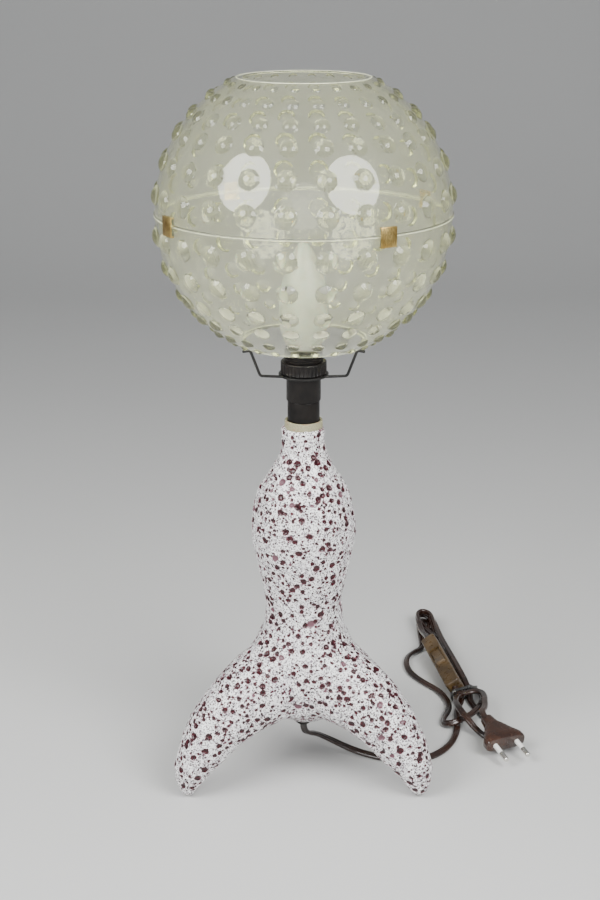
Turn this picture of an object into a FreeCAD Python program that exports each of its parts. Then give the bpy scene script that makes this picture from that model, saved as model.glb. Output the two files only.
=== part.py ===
import FreeCAD, Part
import math
import os
from FreeCAD import Vector

# Table lamp: a hollow tripod foot of glazed ceramic, a small screw lamp holder on a threaded
# tube, a three-armed wire carrier, and a clear globe shade of two half shells held by four clips.
# Millimetres, +Z up. The origin is on the floor, under the lamp's axis. -Y is the front.

BIG = 400.0                      # side of the blocks that trim a shape
THIN = 50.0                      # and their height

# ---- foot ----------------------------------------------------------------------------------
WALL = 5.0                       # thickness of the ceramic
COLLAR_TOP = 280.0
COLLAR_R = 13.8
COLLAR_H = 5.5
NECK_BORE_R = 11.9
NECK_LEDGE_TOP = 268.0
NECK_LEDGE_BOTTOM = 262.0
NECK_HOLE_R = 8.0
# half outline of the turned body from the neck down to the middle of the underside
BODY_OUTLINE = [(15.6, 274.5), (15.6, 264), (17.2, 255), (25, 241), (33, 225.5), (37.5, 210),
                (38.6, 194), (36, 178), (32.8, 162), (29.6, 146), (28.4, 134), (29.8, 122),
                (34, 112), (38.5, 102), (40.5, 89), (38, 72), (32, 56), (22, 46.5), (0, 42)]
# a leg's middle line (distance from the axis, height) and its half thickness, as Bezier poles
LEG_LINE = [(17.0, 77.3), (54.6, 81.5), (106.3, 25.9), (98.6, 1.4)]
LEG_RADII = [34.6, 23.3, 21.0, 3.0]
LEG_ANGLES = [90, 210, 330]
LEG_SECTIONS = 11
LEG_HOLLOW = 0.86                # share of a leg's middle line that is hollow
UNDERSIDE_RECESS_R = 12.2
UNDERSIDE_RECESS_TOP = 47.0
CAVITY_FLOOR = 53.0
NECK_BORE_STEP = 2.0             # how much smaller the bore is below the ledge
NECK_THROAT_BOTTOM = 248.0       # the bore opens into the cavity above this height
TUBE_HOLE_R = 5.6
TUBE_HOLE_TOP = 68.0             # inside the cavity, above the thickest part of the floor

# ---- tube and fixings ----------------------------------------------------------------------
TUBE_R = 5.0
TUBE_BORE_R = 3.8
TUBE_BOTTOM = 37.0
TUBE_TOP = 278.0
CAP_BOTTOM = 270.0
WASHER_T = 1.6
FOOT_WASHER_R = 11.2
NUT_ACROSS_FLATS = 17.0
NUT_H = 6.0
BUSH_H = 7.0
EXIT_Z = 35.8                    # where the cord leaves the foot

# ---- lamp holder ---------------------------------------------------------------------------
CAP_R = 11.6
CAP_BORE_R = 9.7
CAP_BASE_TOP = 276.0
CAP_TOP = 295.0
BODY_R = 12.4
BODY_BORE_R = 9.6
FLANGE_R = 15.0
FLANGE_BOTTOM = 312.0
FLANGE_TOP = 313.2
SKIRT_R = 14.0
SKIRT_BORE_R = 12.2
SKIRT_BORE_BOTTOM = 320.0
HOLDER_TOP = 333.0
INSERT_BOTTOM = 283.0
INSERT_TOP = 300.0
SHELL_R = 7.5
SHELL_BORE_R = 7.1
CLAMP_RING_R = 16.5
CLAMP_RING_H = 8.8
CLAMP_RIBS = 36
CLAMP_GROOVE_R = 0.5
GRUB_R = 1.5
GRUB_Z = 273.0
TERMINAL_X = 6.4                 # terminal screws, from the axis
TERMINAL_HEAD_R = 2.2
TERMINAL_HEAD_H = 2.0
TERMINAL_SHANK_R = 1.4
TERMINAL_SHANK_L = 8.0
CORE_R = 0.8
CORE_X = (1.4, 3.1)              # a core's distance from the axis, at the cord and at the terminal
CONTACT_W = 3.6
CONTACT_L = 11.0
CONTACT_T = 0.5
CONTACT_RISE_L = 4.0
CONTACT_RISE_H = 1.6
FIT = 0.05                       # radial clearance of a running fit
GAP = 0.3                        # clearance between separate moving pieces

# ---- shade carrier -------------------------------------------------------------------------
CARRIER_R = 18.0
CARRIER_T = 1.4
ARM_WIRE_R = 1.0
ARM_LINE = [(16.2, 314.2), (35.4, 317.6), (43.2, 337.1), (49.0, 337.1)]
ARM_BENDS = [3.0, 2.2]
ARM_ANGLES = {"left": 210, "right": 330, "back": 90}

# ---- shade ---------------------------------------------------------------------------------
SHADE_R = 103.0
SHADE_T = 2.0
SEAM_Z = 430.5
RIM_R = 46.2
BUMP_COLUMNS = 24
BUMP_PHASE = 8.5                 # first column, in degrees from the front towards +X
BUMP_ROWS = [(8, 15, 3.5), (21, 14, 3.4), (33, 13, 3.2), (42, 11, 2.9), (51.5, 8.5, 2.3), (59.5, 6, 1.6)]
LIP_R = 103.9
LIP_H = 0.8
CLIP_ANGLES = {"front_right": 31, "back_right": 121, "back_left": 211, "front_left": 301}
CLIP_W = 11.0
CLIP_T = 0.8
CLIP_R = 105.3                   # inner face of the clip's plate
LUG_W = 8.0
LUG_H = 5.6
LUG_R = 105.0
CLIP_LIP_GAP = 0.4               # between a clip's folded lips and the globe

# ---- bulb ----------------------------------------------------------------------------------
GLASS_T = 0.9
GLASS_OUTLINE = [(6.4, 321.5), (7.2, 326.5), (10.6, 332.2), (14.0, 338.5), (17.0, 349), (17.5, 358),
                 (16.9, 371), (14.9, 383), (11.3, 394.5), (6.9, 403), (3.2, 408.4), (0, 410.4)]
LAMP_CAP_R = 6.95
LAMP_CAP_BOTTOM = 304.0
LAMP_CAP_TOP = 324.0
LAMP_CAP_T = 0.4
INSULATOR_R = 3.2
INSULATOR_H = 1.8
INSULATOR_DROP = 0.6             # how far the insulator stands out of the cap
LAMP_CONTACT_R = 2.2
LAMP_CONTACT_DROP = 1.5
STEM_RADII = (4.2, 2.4)
STEM_BOTTOM = 322.0
STEM_H = 26.0
FILAMENT_BOTTOM = 348.3
FILAMENT_GAP = 1.6               # half the distance between the filament's lower ends
FILAMENT_R = 0.4
FILAMENT_REACH = 8.5
FILAMENT_H = 28.0

# ---- cord ----------------------------------------------------------------------------------
CORD_R = 2.7
BARED_L = 2.0                    # how far the cord's end stops short of the tube's top
ARC_SHARE = 0.45                 # part of the shorter run that an arc takes at a corner
# from the bush down to the floor, behind the right leg and on to the tied hank
LEAD_ROUTE = [(0, 0, 35.8), (0, 0, 29.5), (3.5, 5, 23.2), (10, 12.5, 18.8), (22, 16.5, 11.6),
              (36, 14.5, 5.0), (51, 8.0, 2.8), (67, 1.2, 2.8), (84, -0.8, 2.8), (100, 4.5, 2.8),
              (112.5, 17.0, 2.8), (120.5, 33.5, 2.8), (124.8, 52.0, 2.8), (126.2, 71, 2.8),
              (128.2, 87, 2.8), (132.4, 99.6, 2.8)]
# slack that bows out of the hank's left side and curls round in front of its near end
BOW_ROUTE = [(113.5, 204, 4.0), (106.5, 199.5, 3.2), (99, 193, 2.8), (92.5, 183, 2.8), (90.3, 170, 2.8),
             (91.5, 156, 2.8), (96.5, 143.5, 2.8), (104.5, 131.5, 2.8), (112.6, 121.0, 2.8),
             (117.6, 110.5, 2.8), (120.4, 100, 2.8), (121.2, 89, 3.2), (119.0, 78, 3.8), (114.6, 66.5, 4.2),
             (113.8, 56.5, 4.8), (120, 51.8, 8.0), (130.0, 58.0, 8.9), (139.0, 67.5, 8.8), (145.6, 79.5, 9.0),
             (149.4, 93, 6.8), (149.6, 106.0, 4.6), (146.6, 117, 4.4), (139.6, 125, 4.4)]
# a loop that crosses over the curl, turns under the plug and runs back
LOOP_ROUTE = [(131.2, 99.8, 8.6), (128.0, 93.5, 10.6), (126.0, 84.0, 12.6), (124.9, 73.0, 14.4),
              (126.6, 60.0, 15.8), (131.6, 49.2, 13.8), (138.3, 42.4, 7.5), (145.4, 37.8, 3.0),
              (151.5, 31, 2.8), (159, 27.5, 2.8), (166.5, 31, 2.8), (168, 40, 2.8), (162.5, 48.5, 2.8),
              (155.5, 56.5, 2.8), (150.0, 66, 2.8), (146.2, 78, 2.8), (142.0, 89, 2.8), (139.0, 100, 3.0)]
# from the hank to the plug
TAIL_ROUTE = [(137.2, 100.4, 8.4), (143.6, 101.4, 10.6), (148.6, 96.0, 12.2), (149.6, 86.0, 14.2),
              (148.6, 74, 16.0), (147.4, 61, 16.8), (146.4, 50, 17.0)]
HANK_START = (135.0, 114.0)      # near end of the hank's middle line, in plan
HANK_END = (111.0, 272.0)
HANK_H = 9.5
# outline of the bundle: along its middle line, across it
HANK_OUTLINE = [(-18, -4), (-14, 5.5), (5, 7), (45, 6.4), (90, 5.6), (125, 6.5), (147, 4.5), (152.5, -2.5),
                (146, -9.8), (126, -14), (104, -13), (85, -8), (55, -5), (20, -4), (0, -7), (-9, -12),
                (-16, -10.5)]
TIE_AT = -7.0
TIE_SKEW = 0.4                   # how far the tie slants along the hank, per millimetre across it
TIE_WIRE_R = 0.8
TIE_PITCH = 1.7
TIE_LEFT = -12.6
TIE_RIGHT = 6.8
TIE_CORNER_R = 3.5
TIE_TWIST = 7.0                  # length of the twisted ends
TIE_TWIST_R = 1.2
TIE_TWIST_AT = 2.0               # where the twist stands, across the hank
TIE_TWIST_LEAN = 0.6
TIE_TWIST_RISE = 2.0

# ---- in-line switch ------------------------------------------------------------------------
SWITCH_L = 82.0
SWITCH_W = 13.0
SWITCH_BASE_H = 7.0
SWITCH_COVER_H = 6.0
SWITCH_START = (131.6, 110.2, 4.0)    # middle of the near end, underside
SWITCH_HEADING = (-16.1, 84.0, 4.6)
SWITCH_ROLL = 32.0                    # degrees that its right side is lifted by the strands under it
SWITCH_WALL = 1.6
SWITCH_CORNER_R = 3.0
SWITCH_CORD_R = 2.75
SWITCH_SCREW_R = 1.25
SWITCH_SCREW_HEAD_R = 2.5
SWITCH_SCREW_HEAD = (0.4, 1.4)        # underside and top of a screw's head
SWITCH_SCREW_SHORT = 3.0              # how far a screw stops below the cover's top
SWITCH_POST_SHORT = 0.5
CONTACT_PLATE = (6.0, 4.0, 1.6)
SLOT_GAP = 0.4                        # round the rocker
SLOT_DEPTH = 3.0
SWITCH_POST_R = 3.0
SWITCH_SCREWS_AT = [9.0, 73.0]        # along the switch from its near end
SWITCH_CONTACTS_AT = [34.0, 56.0]
ROCKER_AT = 45.0                      # middle of the rocker from the near end
ROCKER_REACH = 13.4                   # from the pivot to either end
ROCKER_W = 8.4
ROCKER_TILT = 9.0
ROCKER_DISH = 3.4                     # height of the rocker's middle above the pivot
ROCKER_END_TOP = 20.0                 # degrees above the pivot's level, at both ends
ROCKER_END_BOTTOM = -10.0
PIVOT_R = 1.0
PIVOT_H = 9.0

# ---- plug ----------------------------------------------------------------------------------
PLUG_FACE = (158.5, 9.7, 11.4)        # middle of the face that carries the pins
PLUG_HEADING = (0.386, -0.9225)       # the way the pins point, in plan
PLUG_DIP = 9.7                        # degrees that the pins point down
PLUG_L = 33.0
PLUG_W = 34.0
PLUG_H = 12.4
PLUG_SHOULDER = 6.0                   # length of the full-width part
PLUG_WAIST = [(-12, 13.0), (-20, 8.4)]    # points of the flank between shoulder and rear
PLUG_TAIL_W = 10.0
PLUG_TAIL_H = 9.0
PLUG_CORNER_R = 4.0
PIN_PITCH = 19.0
PIN_R = 2.0
PIN_CORE_R = 1.5
PIN_L = 19.0
PIN_ROOT = 8.0                        # length held inside the body
PIN_NOSE_R = 1.5
SLEEVE_R = 2.0
SLEEVE_L = 10.0


def save(node, shape):
    """Write one sub-part, and say when its shape is not sound."""
    if not shape.isValid() or shape.Volume <= 0:
        print("check", node)
    shape.exportStep("parts/%s.step" % node)


def ring(outer, inner, low, high):
    """A round disc or tube about the lamp's axis."""
    body = Part.makeCylinder(outer, high - low, Vector(0, 0, low))
    if inner > 0:
        body = body.cut(Part.makeCylinder(inner, high - low, Vector(0, 0, low)))
    return body


def block(low):
    """A wide block whose underside is at the given height."""
    return Part.makeBox(BIG, BIG, THIN, Vector(-BIG / 2, -BIG / 2, low))


def turned(outline, closing):
    """A solid turned about the axis from a smooth outline, closed by straight lines."""
    points = [Vector(r, 0, z) for r, z in outline]
    curve = Part.BSplineCurve()
    curve.interpolate(points)
    corners = [points[-1]] + [Vector(r, 0, z) for r, z in closing] + [points[0]]
    edges = [curve.toShape()]
    for a, b in zip(corners, corners[1:]):
        edges.append(Part.makeLine(a, b))
    return Part.Face(Part.Wire(edges)).revolve(Vector(0, 0, 0), Vector(0, 0, 1), 360)


def inset(outline, depth):
    """The outline moved inwards, square to itself, by the depth."""
    moved = []
    for i, (r, z) in enumerate(outline):
        before = outline[max(i - 1, 0)]
        after = outline[min(i + 1, len(outline) - 1)]
        dr = after[0] - before[0]
        dz = after[1] - before[1]
        size = math.hypot(dr, dz)
        moved.append((max(r + dz / size * depth, 0), z - dr / size * depth))
    return moved


def bezier(poles, t):
    """Value and slope of a cubic Bezier at t."""
    a, b, c, d = poles
    s = 1 - t
    value = s * s * s * a + 3 * s * s * t * b + 3 * s * t * t * c + t * t * t * d
    slope = 3 * (s * s * (b - a) + 2 * s * t * (c - b) + t * t * (d - c))
    return value, slope


def local_frame(origin, along, across):
    """Placement with its X axis along, its Y axis across and its Z axis square to both."""
    x = Vector(along).normalize()
    z = x.cross(Vector(across)).normalize()
    y = z.cross(x)
    return FreeCAD.Placement(FreeCAD.Matrix(x.x, y.x, z.x, origin[0], x.y, y.y, z.y, origin[1],
                                            x.z, y.z, z.z, origin[2]))


def leg(angle, thinner, last=1.0):
    """One horn-shaped leg: round sections along its curved middle line."""
    wires = []
    for i in range(LEG_SECTIONS):
        t = last * i / (LEG_SECTIONS - 1)
        out, out_slope = bezier([p[0] for p in LEG_LINE], t)
        up, up_slope = bezier([p[1] for p in LEG_LINE], t)
        radius, radius_slope = bezier(LEG_RADII, t)
        speed = math.hypot(out_slope, up_slope)
        taper = radius_slope / speed
        along = Vector(out_slope / speed, 0, up_slope / speed)
        middle = Vector(out, 0, up) - along * (radius * taper)
        side = Vector(0, 1, 0)
        section = Part.Wire(Part.makeCircle(radius * math.sqrt(1 - taper * taper) - thinner))
        section.Placement = local_frame(middle, side, along.cross(side))
        wires.append(section)
    horn = Part.makeLoft(wires, True, False)
    horn.rotate(Vector(0, 0, 0), Vector(0, 0, 1), angle)
    return horn


def ceramic_foot():
    """Hollow tripod body with a plain collar, a ledge in the neck and a hole below."""
    outside = turned(BODY_OUTLINE, [(0, BODY_OUTLINE[0][1])])
    cavity_outline = [p for p in inset(BODY_OUTLINE, WALL) if CAVITY_FLOOR < p[1] < NECK_LEDGE_BOTTOM]
    cavity = turned(cavity_outline, [(0, cavity_outline[-1][1]), (0, cavity_outline[0][1])])
    for angle in LEG_ANGLES:
        outside = outside.fuse(leg(angle, 0))
        cavity = cavity.fuse(leg(angle, WALL, LEG_HOLLOW))
    cavity = cavity.cut(ring(LEG_RADII[0], 0, 0, CAVITY_FLOOR))
    foot = outside.cut(block(-THIN)).cut(cavity)
    foot = foot.fuse(ring(COLLAR_R, 0, BODY_OUTLINE[0][1] - WALL, COLLAR_TOP))
    bores = [ring(NECK_BORE_R, 0, NECK_LEDGE_TOP, COLLAR_TOP),
             ring(NECK_HOLE_R, 0, NECK_LEDGE_BOTTOM, NECK_LEDGE_TOP),
             ring(NECK_BORE_R - NECK_BORE_STEP, 0, NECK_THROAT_BOTTOM, NECK_LEDGE_BOTTOM),
             ring(TUBE_HOLE_R, 0, UNDERSIDE_RECESS_TOP, TUBE_HOLE_TOP),
             ring(UNDERSIDE_RECESS_R, 0, 0, UNDERSIDE_RECESS_TOP)]
    for bore in bores:
        foot = foot.cut(bore)
    return foot.Solids[0]


def hexagon_nut(low, high, across_flats, bore):
    """A plain hexagon nut about the axis."""
    reach = across_flats / math.sqrt(3)
    turns = [math.radians(60 * k) for k in range(7)]
    corners = [Vector(reach * math.cos(turn), reach * math.sin(turn), low) for turn in turns]
    nut = Part.Face(Part.makePolygon(corners)).extrude(Vector(0, 0, high - low))
    return nut.cut(ring(bore, 0, low, high))


def save_fixings():
    """The threaded tube and what clamps the foot and the holder to it."""
    washer_bottom = UNDERSIDE_RECESS_TOP - WASHER_T
    save("threaded_tube", ring(TUBE_R, TUBE_BORE_R, TUBE_BOTTOM, TUBE_TOP))
    save("foot_washer", ring(FOOT_WASHER_R, TUBE_R + FIT, washer_bottom, UNDERSIDE_RECESS_TOP))
    save("foot_nut", hexagon_nut(washer_bottom - NUT_H, washer_bottom, NUT_ACROSS_FLATS, TUBE_R + FIT))
    save("neck_washer", ring(CAP_R, TUBE_R + FIT, NECK_LEDGE_TOP, CAP_BOTTOM))
    bush = ring(TUBE_BORE_R - FIT, CORD_R + FIT, TUBE_BOTTOM, TUBE_BOTTOM + BUSH_H)
    bush = bush.fuse(ring(TUBE_R, CORD_R + FIT, EXIT_Z, TUBE_BOTTOM))
    save("cord_bush", bush)
    save("cord_in_tube", ring(CORD_R, 0, EXIT_Z, TUBE_TOP - BARED_L))


def rod(radius, start, end):
    """A straight round rod between two points."""
    line = Vector(*end) - Vector(*start)
    return Part.makeCylinder(radius, line.Length, Vector(*start), line)


def save_holder():
    """The two-part moulded holder with its contacts, leads and screws."""
    cap = ring(CAP_R, CAP_BORE_R, CAP_BOTTOM, CAP_TOP)
    cap = cap.fuse(ring(CAP_BORE_R, TUBE_R + FIT, CAP_BOTTOM, CAP_BASE_TOP))
    save("holder_cap", cap.cut(rod(GRUB_R, (0, 0, GRUB_Z), (BODY_R, 0, GRUB_Z))))
    save("cap_grub_screw", rod(GRUB_R, (TUBE_R + FIT, 0, GRUB_Z), (CAP_R - GAP, 0, GRUB_Z)))
    shell = ring(BODY_R, 0, CAP_TOP, FLANGE_TOP).fuse(ring(FLANGE_R, 0, FLANGE_BOTTOM, FLANGE_TOP))
    shell = shell.fuse(ring(SKIRT_R, 0, FLANGE_TOP, HOLDER_TOP))
    shell = shell.cut(ring(BODY_BORE_R, 0, CAP_TOP, SKIRT_BORE_BOTTOM))
    save("holder_body", shell.cut(ring(SKIRT_BORE_R, 0, SKIRT_BORE_BOTTOM, HOLDER_TOP)))
    save("screw_shell", ring(SHELL_R, SHELL_BORE_R, INSERT_TOP, LAMP_CAP_TOP - WASHER_T))
    save_contacts()


def save_contacts():
    """The ceramic insert, its terminal screws, the cord's cores and the centre contact."""
    insert = ring(BODY_BORE_R - FIT, 0, INSERT_BOTTOM, INSERT_TOP)
    head_bottom = INSERT_BOTTOM - TERMINAL_HEAD_H
    screws = []
    cores = []
    for side in (-1, 1):
        x = side * TERMINAL_X
        shank = rod(TERMINAL_SHANK_R, (x, 0, INSERT_BOTTOM), (x, 0, INSERT_BOTTOM + TERMINAL_SHANK_L))
        screws.append(rod(TERMINAL_HEAD_R, (x, 0, head_bottom), (x, 0, INSERT_BOTTOM)).fuse(shank))
        insert = insert.cut(shank)
        core_start = (side * CORE_X[0], 0, TUBE_TOP - CORE_X[0])
        cores.append(rod(CORE_R, core_start, (side * CORE_X[1], 0, head_bottom)))
    save("contact_insert", insert)
    save("terminal_screws", Part.makeCompound(screws))
    save("cord_cores", Part.makeCompound(cores))
    strip = Part.makeBox(CONTACT_W, CONTACT_L, CONTACT_T, Vector(-CONTACT_W / 2, -CONTACT_L / 2, INSERT_TOP))
    rise = Part.makeBox(CONTACT_W, CONTACT_RISE_L, CONTACT_RISE_H,
                        Vector(-CONTACT_W / 2, -CONTACT_RISE_L / 2, INSERT_TOP + CONTACT_T))
    save("centre_contact", strip.fuse(rise))


def save_clamp_ring():
    """The ribbed ring that screws down on the carrier."""
    low = FLANGE_TOP + GAP + CARRIER_T + GAP
    body = ring(CLAMP_RING_R, SKIRT_R + FIT, low, low + CLAMP_RING_H)
    grooves = []
    for k in range(CLAMP_RIBS):
        turn = 2 * math.pi * k / CLAMP_RIBS
        x = CLAMP_RING_R * math.cos(turn)
        y = CLAMP_RING_R * math.sin(turn)
        groove_bottom = low + 2 * CLAMP_GROOVE_R
        groove_top = low + CLAMP_RING_H - 2 * CLAMP_GROOVE_R
        grooves.append(rod(CLAMP_GROOVE_R, (x, y, groove_bottom), (x, y, groove_top)))
    save("clamp_ring", body.cut(Part.makeCompound(grooves)))


def bent_path(points, radii):
    """Straight runs joined by tangent arcs of the given radii."""
    edges = []
    start = points[0]
    for before, corner, after, radius in zip(points, points[1:], points[2:], radii):
        a = (before - corner).normalize()
        b = (after - corner).normalize()
        half = a.getAngle(b) / 2
        setback = radius / math.tan(half)
        middle_way = (a + b).normalize()
        centre = corner + middle_way * (radius / math.sin(half))
        arc_start = corner + a * setback
        arc_end = corner + b * setback
        arc_top = centre - middle_way * radius
        edges.append(Part.LineSegment(start, arc_start).toShape())
        edges.append(Part.Arc(arc_start, arc_top, arc_end).toShape())
        start = arc_end
    edges.append(Part.LineSegment(start, points[-1]).toShape())
    return Part.Wire(edges)


def swept(path, radius):
    """A round tube along a path."""
    start = path.Edges[0]
    heading = start.tangentAt(start.FirstParameter)
    section = Part.Wire(Part.makeCircle(radius, start.valueAt(start.FirstParameter), heading))
    return path.makePipeShell([section], True, False)


def save_carrier():
    """The stamped ring and the three wire arms that carry the shade."""
    low = FLANGE_TOP + GAP
    save("carrier_ring", ring(CARRIER_R, SKIRT_R + GAP, low, low + CARRIER_T))
    for name, angle in ARM_ANGLES.items():
        path = bent_path([Vector(r, 0, z) for r, z in ARM_LINE], ARM_BENDS)
        arm = swept(path, ARM_WIRE_R)
        arm.rotate(Vector(0, 0, 0), Vector(0, 0, 1), angle)
        save("carrier_arm_" + name, arm)


def from_front(angle, radius, z):
    """A point at an angle from the front towards +X."""
    turn = math.radians(angle)
    return Vector(radius * math.sin(turn), -radius * math.cos(turn), z)


def facing(shape, angle):
    """Turn a shape that looks along +X so that it looks away from the axis at the angle."""
    shape.rotate(Vector(0, 0, 0), Vector(0, 0, 1), angle - 90)
    return shape


def half_shell():
    """A half globe with lens-shaped bumps, a seam lip and four lugs."""
    middle = Vector(0, 0, SEAM_Z)
    shell = Part.makeSphere(SHADE_R, middle, Vector(0, 0, 1), 0, 90, 360)
    bumps = []
    for latitude, width, height in BUMP_ROWS:
        ball_r = (width * width / 4 + height * height) / (2 * height)
        out = SHADE_R + height - ball_r
        up = math.radians(latitude)
        for k in range(BUMP_COLUMNS):
            angle = BUMP_PHASE + 360 / BUMP_COLUMNS * k
            centre = from_front(angle, out * math.cos(up), SEAM_Z + out * math.sin(up))
            bumps.append(Part.makeSphere(ball_r, centre))
    shell = shell.fuse(bumps)
    shell = shell.fuse(ring(LIP_R, 0, SEAM_Z, SEAM_Z + LIP_H))
    inner_r = SHADE_R - SHADE_T
    for angle in CLIP_ANGLES.values():
        lug = Part.makeBox(LUG_R - inner_r, LUG_W, LUG_H, Vector(inner_r, -LUG_W / 2, SEAM_Z))
        shell = shell.fuse(facing(lug, angle))
    shell = shell.cut(Part.makeSphere(inner_r, middle))
    rim_z = SEAM_Z + math.sqrt(SHADE_R * SHADE_R - RIM_R * RIM_R)
    return shell.cut(block(rim_z)).cut(block(SEAM_Z - THIN)).Solids[0]


def save_shade():
    """Both half shells are one moulding: the lower one is turned over about a line through two lugs."""
    half = half_shell()
    save("shade_upper", half)
    half.rotate(Vector(0, 0, SEAM_Z), from_front(CLIP_ANGLES["front_right"], 1, 0), 180)
    save("shade_lower", half)


def save_clips():
    """Four spring clips, each hooked over a pair of lugs."""
    top = LUG_H + GAP + CLIP_T
    lip_r = SHADE_R + CLIP_LIP_GAP
    for name, angle in CLIP_ANGLES.items():
        clip = Part.makeBox(CLIP_T, CLIP_W, 2 * top, Vector(CLIP_R, -CLIP_W / 2, SEAM_Z - top))
        for z in (SEAM_Z + LUG_H + GAP, SEAM_Z - top):
            clip = clip.fuse(Part.makeBox(CLIP_R - lip_r, CLIP_W, CLIP_T, Vector(lip_r, -CLIP_W / 2, z)))
        save("shade_clip_" + name, facing(clip, angle))


def save_bulb():
    """Candle lamp: hollow glass, threaded cap, insulator with contact, stem and filament."""
    outside = turned(GLASS_OUTLINE, [(0, GLASS_OUTLINE[0][1])])
    inner_outline = inset([(r, z) for r, z in reversed(GLASS_OUTLINE)], GLASS_T)[::-1]
    inner_outline[0] = (inner_outline[0][0], GLASS_OUTLINE[0][1])
    inside = turned(inner_outline, [(0, inner_outline[0][1])])
    save("bulb_glass", outside.cut(inside))
    cap_bore = LAMP_CAP_R - LAMP_CAP_T
    insulator_bottom = LAMP_CAP_BOTTOM - INSULATOR_DROP
    save("bulb_cap", ring(LAMP_CAP_R, cap_bore, LAMP_CAP_BOTTOM, LAMP_CAP_TOP))
    save("bulb_insulator", Part.makeCone(INSULATOR_R, cap_bore, INSULATOR_H, Vector(0, 0, insulator_bottom)))
    save("bulb_contact", ring(LAMP_CONTACT_R, 0, LAMP_CAP_BOTTOM - LAMP_CONTACT_DROP, insulator_bottom))
    save("bulb_stem", Part.makeCone(STEM_RADII[0], STEM_RADII[1], STEM_H, Vector(0, 0, STEM_BOTTOM)))
    top = FILAMENT_BOTTOM + FILAMENT_H
    filament = rod(FILAMENT_R, (-FILAMENT_REACH, 0, top), (FILAMENT_REACH, 0, top))
    for side in (-1, 1):
        leg_start = (side * FILAMENT_GAP, 0, FILAMENT_BOTTOM)
        filament = filament.fuse(rod(FILAMENT_R, leg_start, (side * FILAMENT_REACH, 0, top)))
    save("bulb_filament", filament)


def route_tube(name, route, away=None):
    """A cord along a hand-laid route: each arc as large as its two runs allow."""
    points = [Vector(*p) for p in route]
    radii = []
    for before, corner, after in zip(points, points[1:], points[2:]):
        turn = (corner - before).getAngle(after - corner)
        shorter = min((corner - before).Length, (after - corner).Length)
        radii.append(ARC_SHARE * shorter / math.tan(turn / 2))
    path = bent_path(points, radii)
    tube = swept(path, CORD_R)
    section = math.pi * CORD_R * CORD_R
    print(name, "length %.1f" % path.Length, "volume ratio %.4f" % (tube.Volume / (section * path.Length)),
          "radii", ["%.0f" % r for r in radii])
    save(name, tube.cut(away) if away else tube)


def hank_frame():
    """Start, direction and sideways direction of the hank, in plan."""
    start = Vector(*HANK_START, 0)
    along = (Vector(*HANK_END, 0) - start).normalize()
    return start, along, Vector(along.y, -along.x, 0)


def tie_shape():
    """Two turns of wire round the bundle, and its twisted ends."""
    start, along, side = hank_frame()
    wires = []
    low = TIE_WIRE_R
    high = HANK_H + TIE_WIRE_R
    for offset in (TIE_AT - TIE_PITCH / 2, TIE_AT + TIE_PITCH / 2):
        corners = [(TIE_LEFT, (low + high) / 2), (TIE_LEFT, high), (TIE_RIGHT, high), (TIE_RIGHT, low),
                   (TIE_LEFT, low), (TIE_LEFT, (low + high) / 2)]
        points = [start + along * (offset + TIE_SKEW * v) + side * v + Vector(0, 0, z) for v, z in corners]
        wires.append(swept(bent_path(points, [TIE_CORNER_R] * 4), TIE_WIRE_R))
    knot = start + along * TIE_AT + side * TIE_TWIST_AT + Vector(0, 0, high)
    end = knot - along * (TIE_TWIST * TIE_TWIST_LEAN) + side * TIE_TWIST + Vector(0, 0, TIE_TWIST_RISE)
    return wires[0].fuse([wires[1], rod(TIE_TWIST_R, knot, end)])


def switch_frame():
    """Placement of the switch: X from its near end to its far end, Z up through its rocker."""
    roll = math.radians(SWITCH_ROLL)
    return local_frame(SWITCH_START, SWITCH_HEADING, (-math.cos(roll), 0, -math.sin(roll)))


def plug_frame():
    """Placement of the plug: X along its pins from the face, Y across them."""
    heading = Vector(*PLUG_HEADING, 0).normalize() * math.cos(math.radians(PLUG_DIP))
    heading.z = -math.sin(math.radians(PLUG_DIP))
    return local_frame(PLUG_FACE, heading, (-heading.y, heading.x, 0))


def plug_point(along):
    """A point on the plug's middle line."""
    return plug_frame().multVec(Vector(along, 0, 0))


def plug_outline():
    """Plan of the plug's body: square shoulders at the face, waisted towards the cord."""
    half = PLUG_W / 2
    flank = Part.BSplineCurve()
    line = [(-PLUG_SHOULDER, half)] + PLUG_WAIST + [(-PLUG_L, PLUG_TAIL_W / 2)]
    flank.interpolate([Vector(x, y, 0) for x, y in line])
    left = flank.toShape()
    right = left.mirror(Vector(0, 0, 0), Vector(0, 1, 0))
    lines = [(0, half, 0, -half), (0, half, -PLUG_SHOULDER, half), (0, -half, -PLUG_SHOULDER, -half),
             (-PLUG_L, PLUG_TAIL_W / 2, -PLUG_L, -PLUG_TAIL_W / 2)]
    edges = [left, right] + [Part.makeLine(Vector(a, b, 0), Vector(c, d, 0)) for a, b, c, d in lines]
    return Part.Face(Part.Wire(Part.__sortEdges__(edges)))


def plug_body():
    """The plug's moulded body, in its place."""
    body = plug_outline().extrude(Vector(0, 0, PLUG_H))
    body.translate(Vector(0, 0, -PLUG_H / 2))
    side = [(0, PLUG_H / 2), (-PLUG_SHOULDER, PLUG_H / 2), (-PLUG_L, PLUG_TAIL_H / 2),
            (-PLUG_L, -PLUG_TAIL_H / 2), (-PLUG_SHOULDER, -PLUG_H / 2), (0, -PLUG_H / 2), (0, PLUG_H / 2)]
    flat = Part.Face(Part.makePolygon([Vector(x, -PLUG_W / 2, z) for x, z in side]))
    body = body.common(flat.extrude(Vector(0, PLUG_W, 0)))
    end = Part.makeBox(PLUG_L, PLUG_W, PLUG_H, Vector(-PLUG_L, -PLUG_W / 2, -PLUG_H / 2))
    long_edges = [e for e in end.Edges if abs(e.Vertexes[0].X - e.Vertexes[1].X) > PLUG_L / 2]
    body = body.common(end.makeFillet(PLUG_CORNER_R, long_edges))
    return body.transformed(plug_frame().toMatrix())


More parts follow.
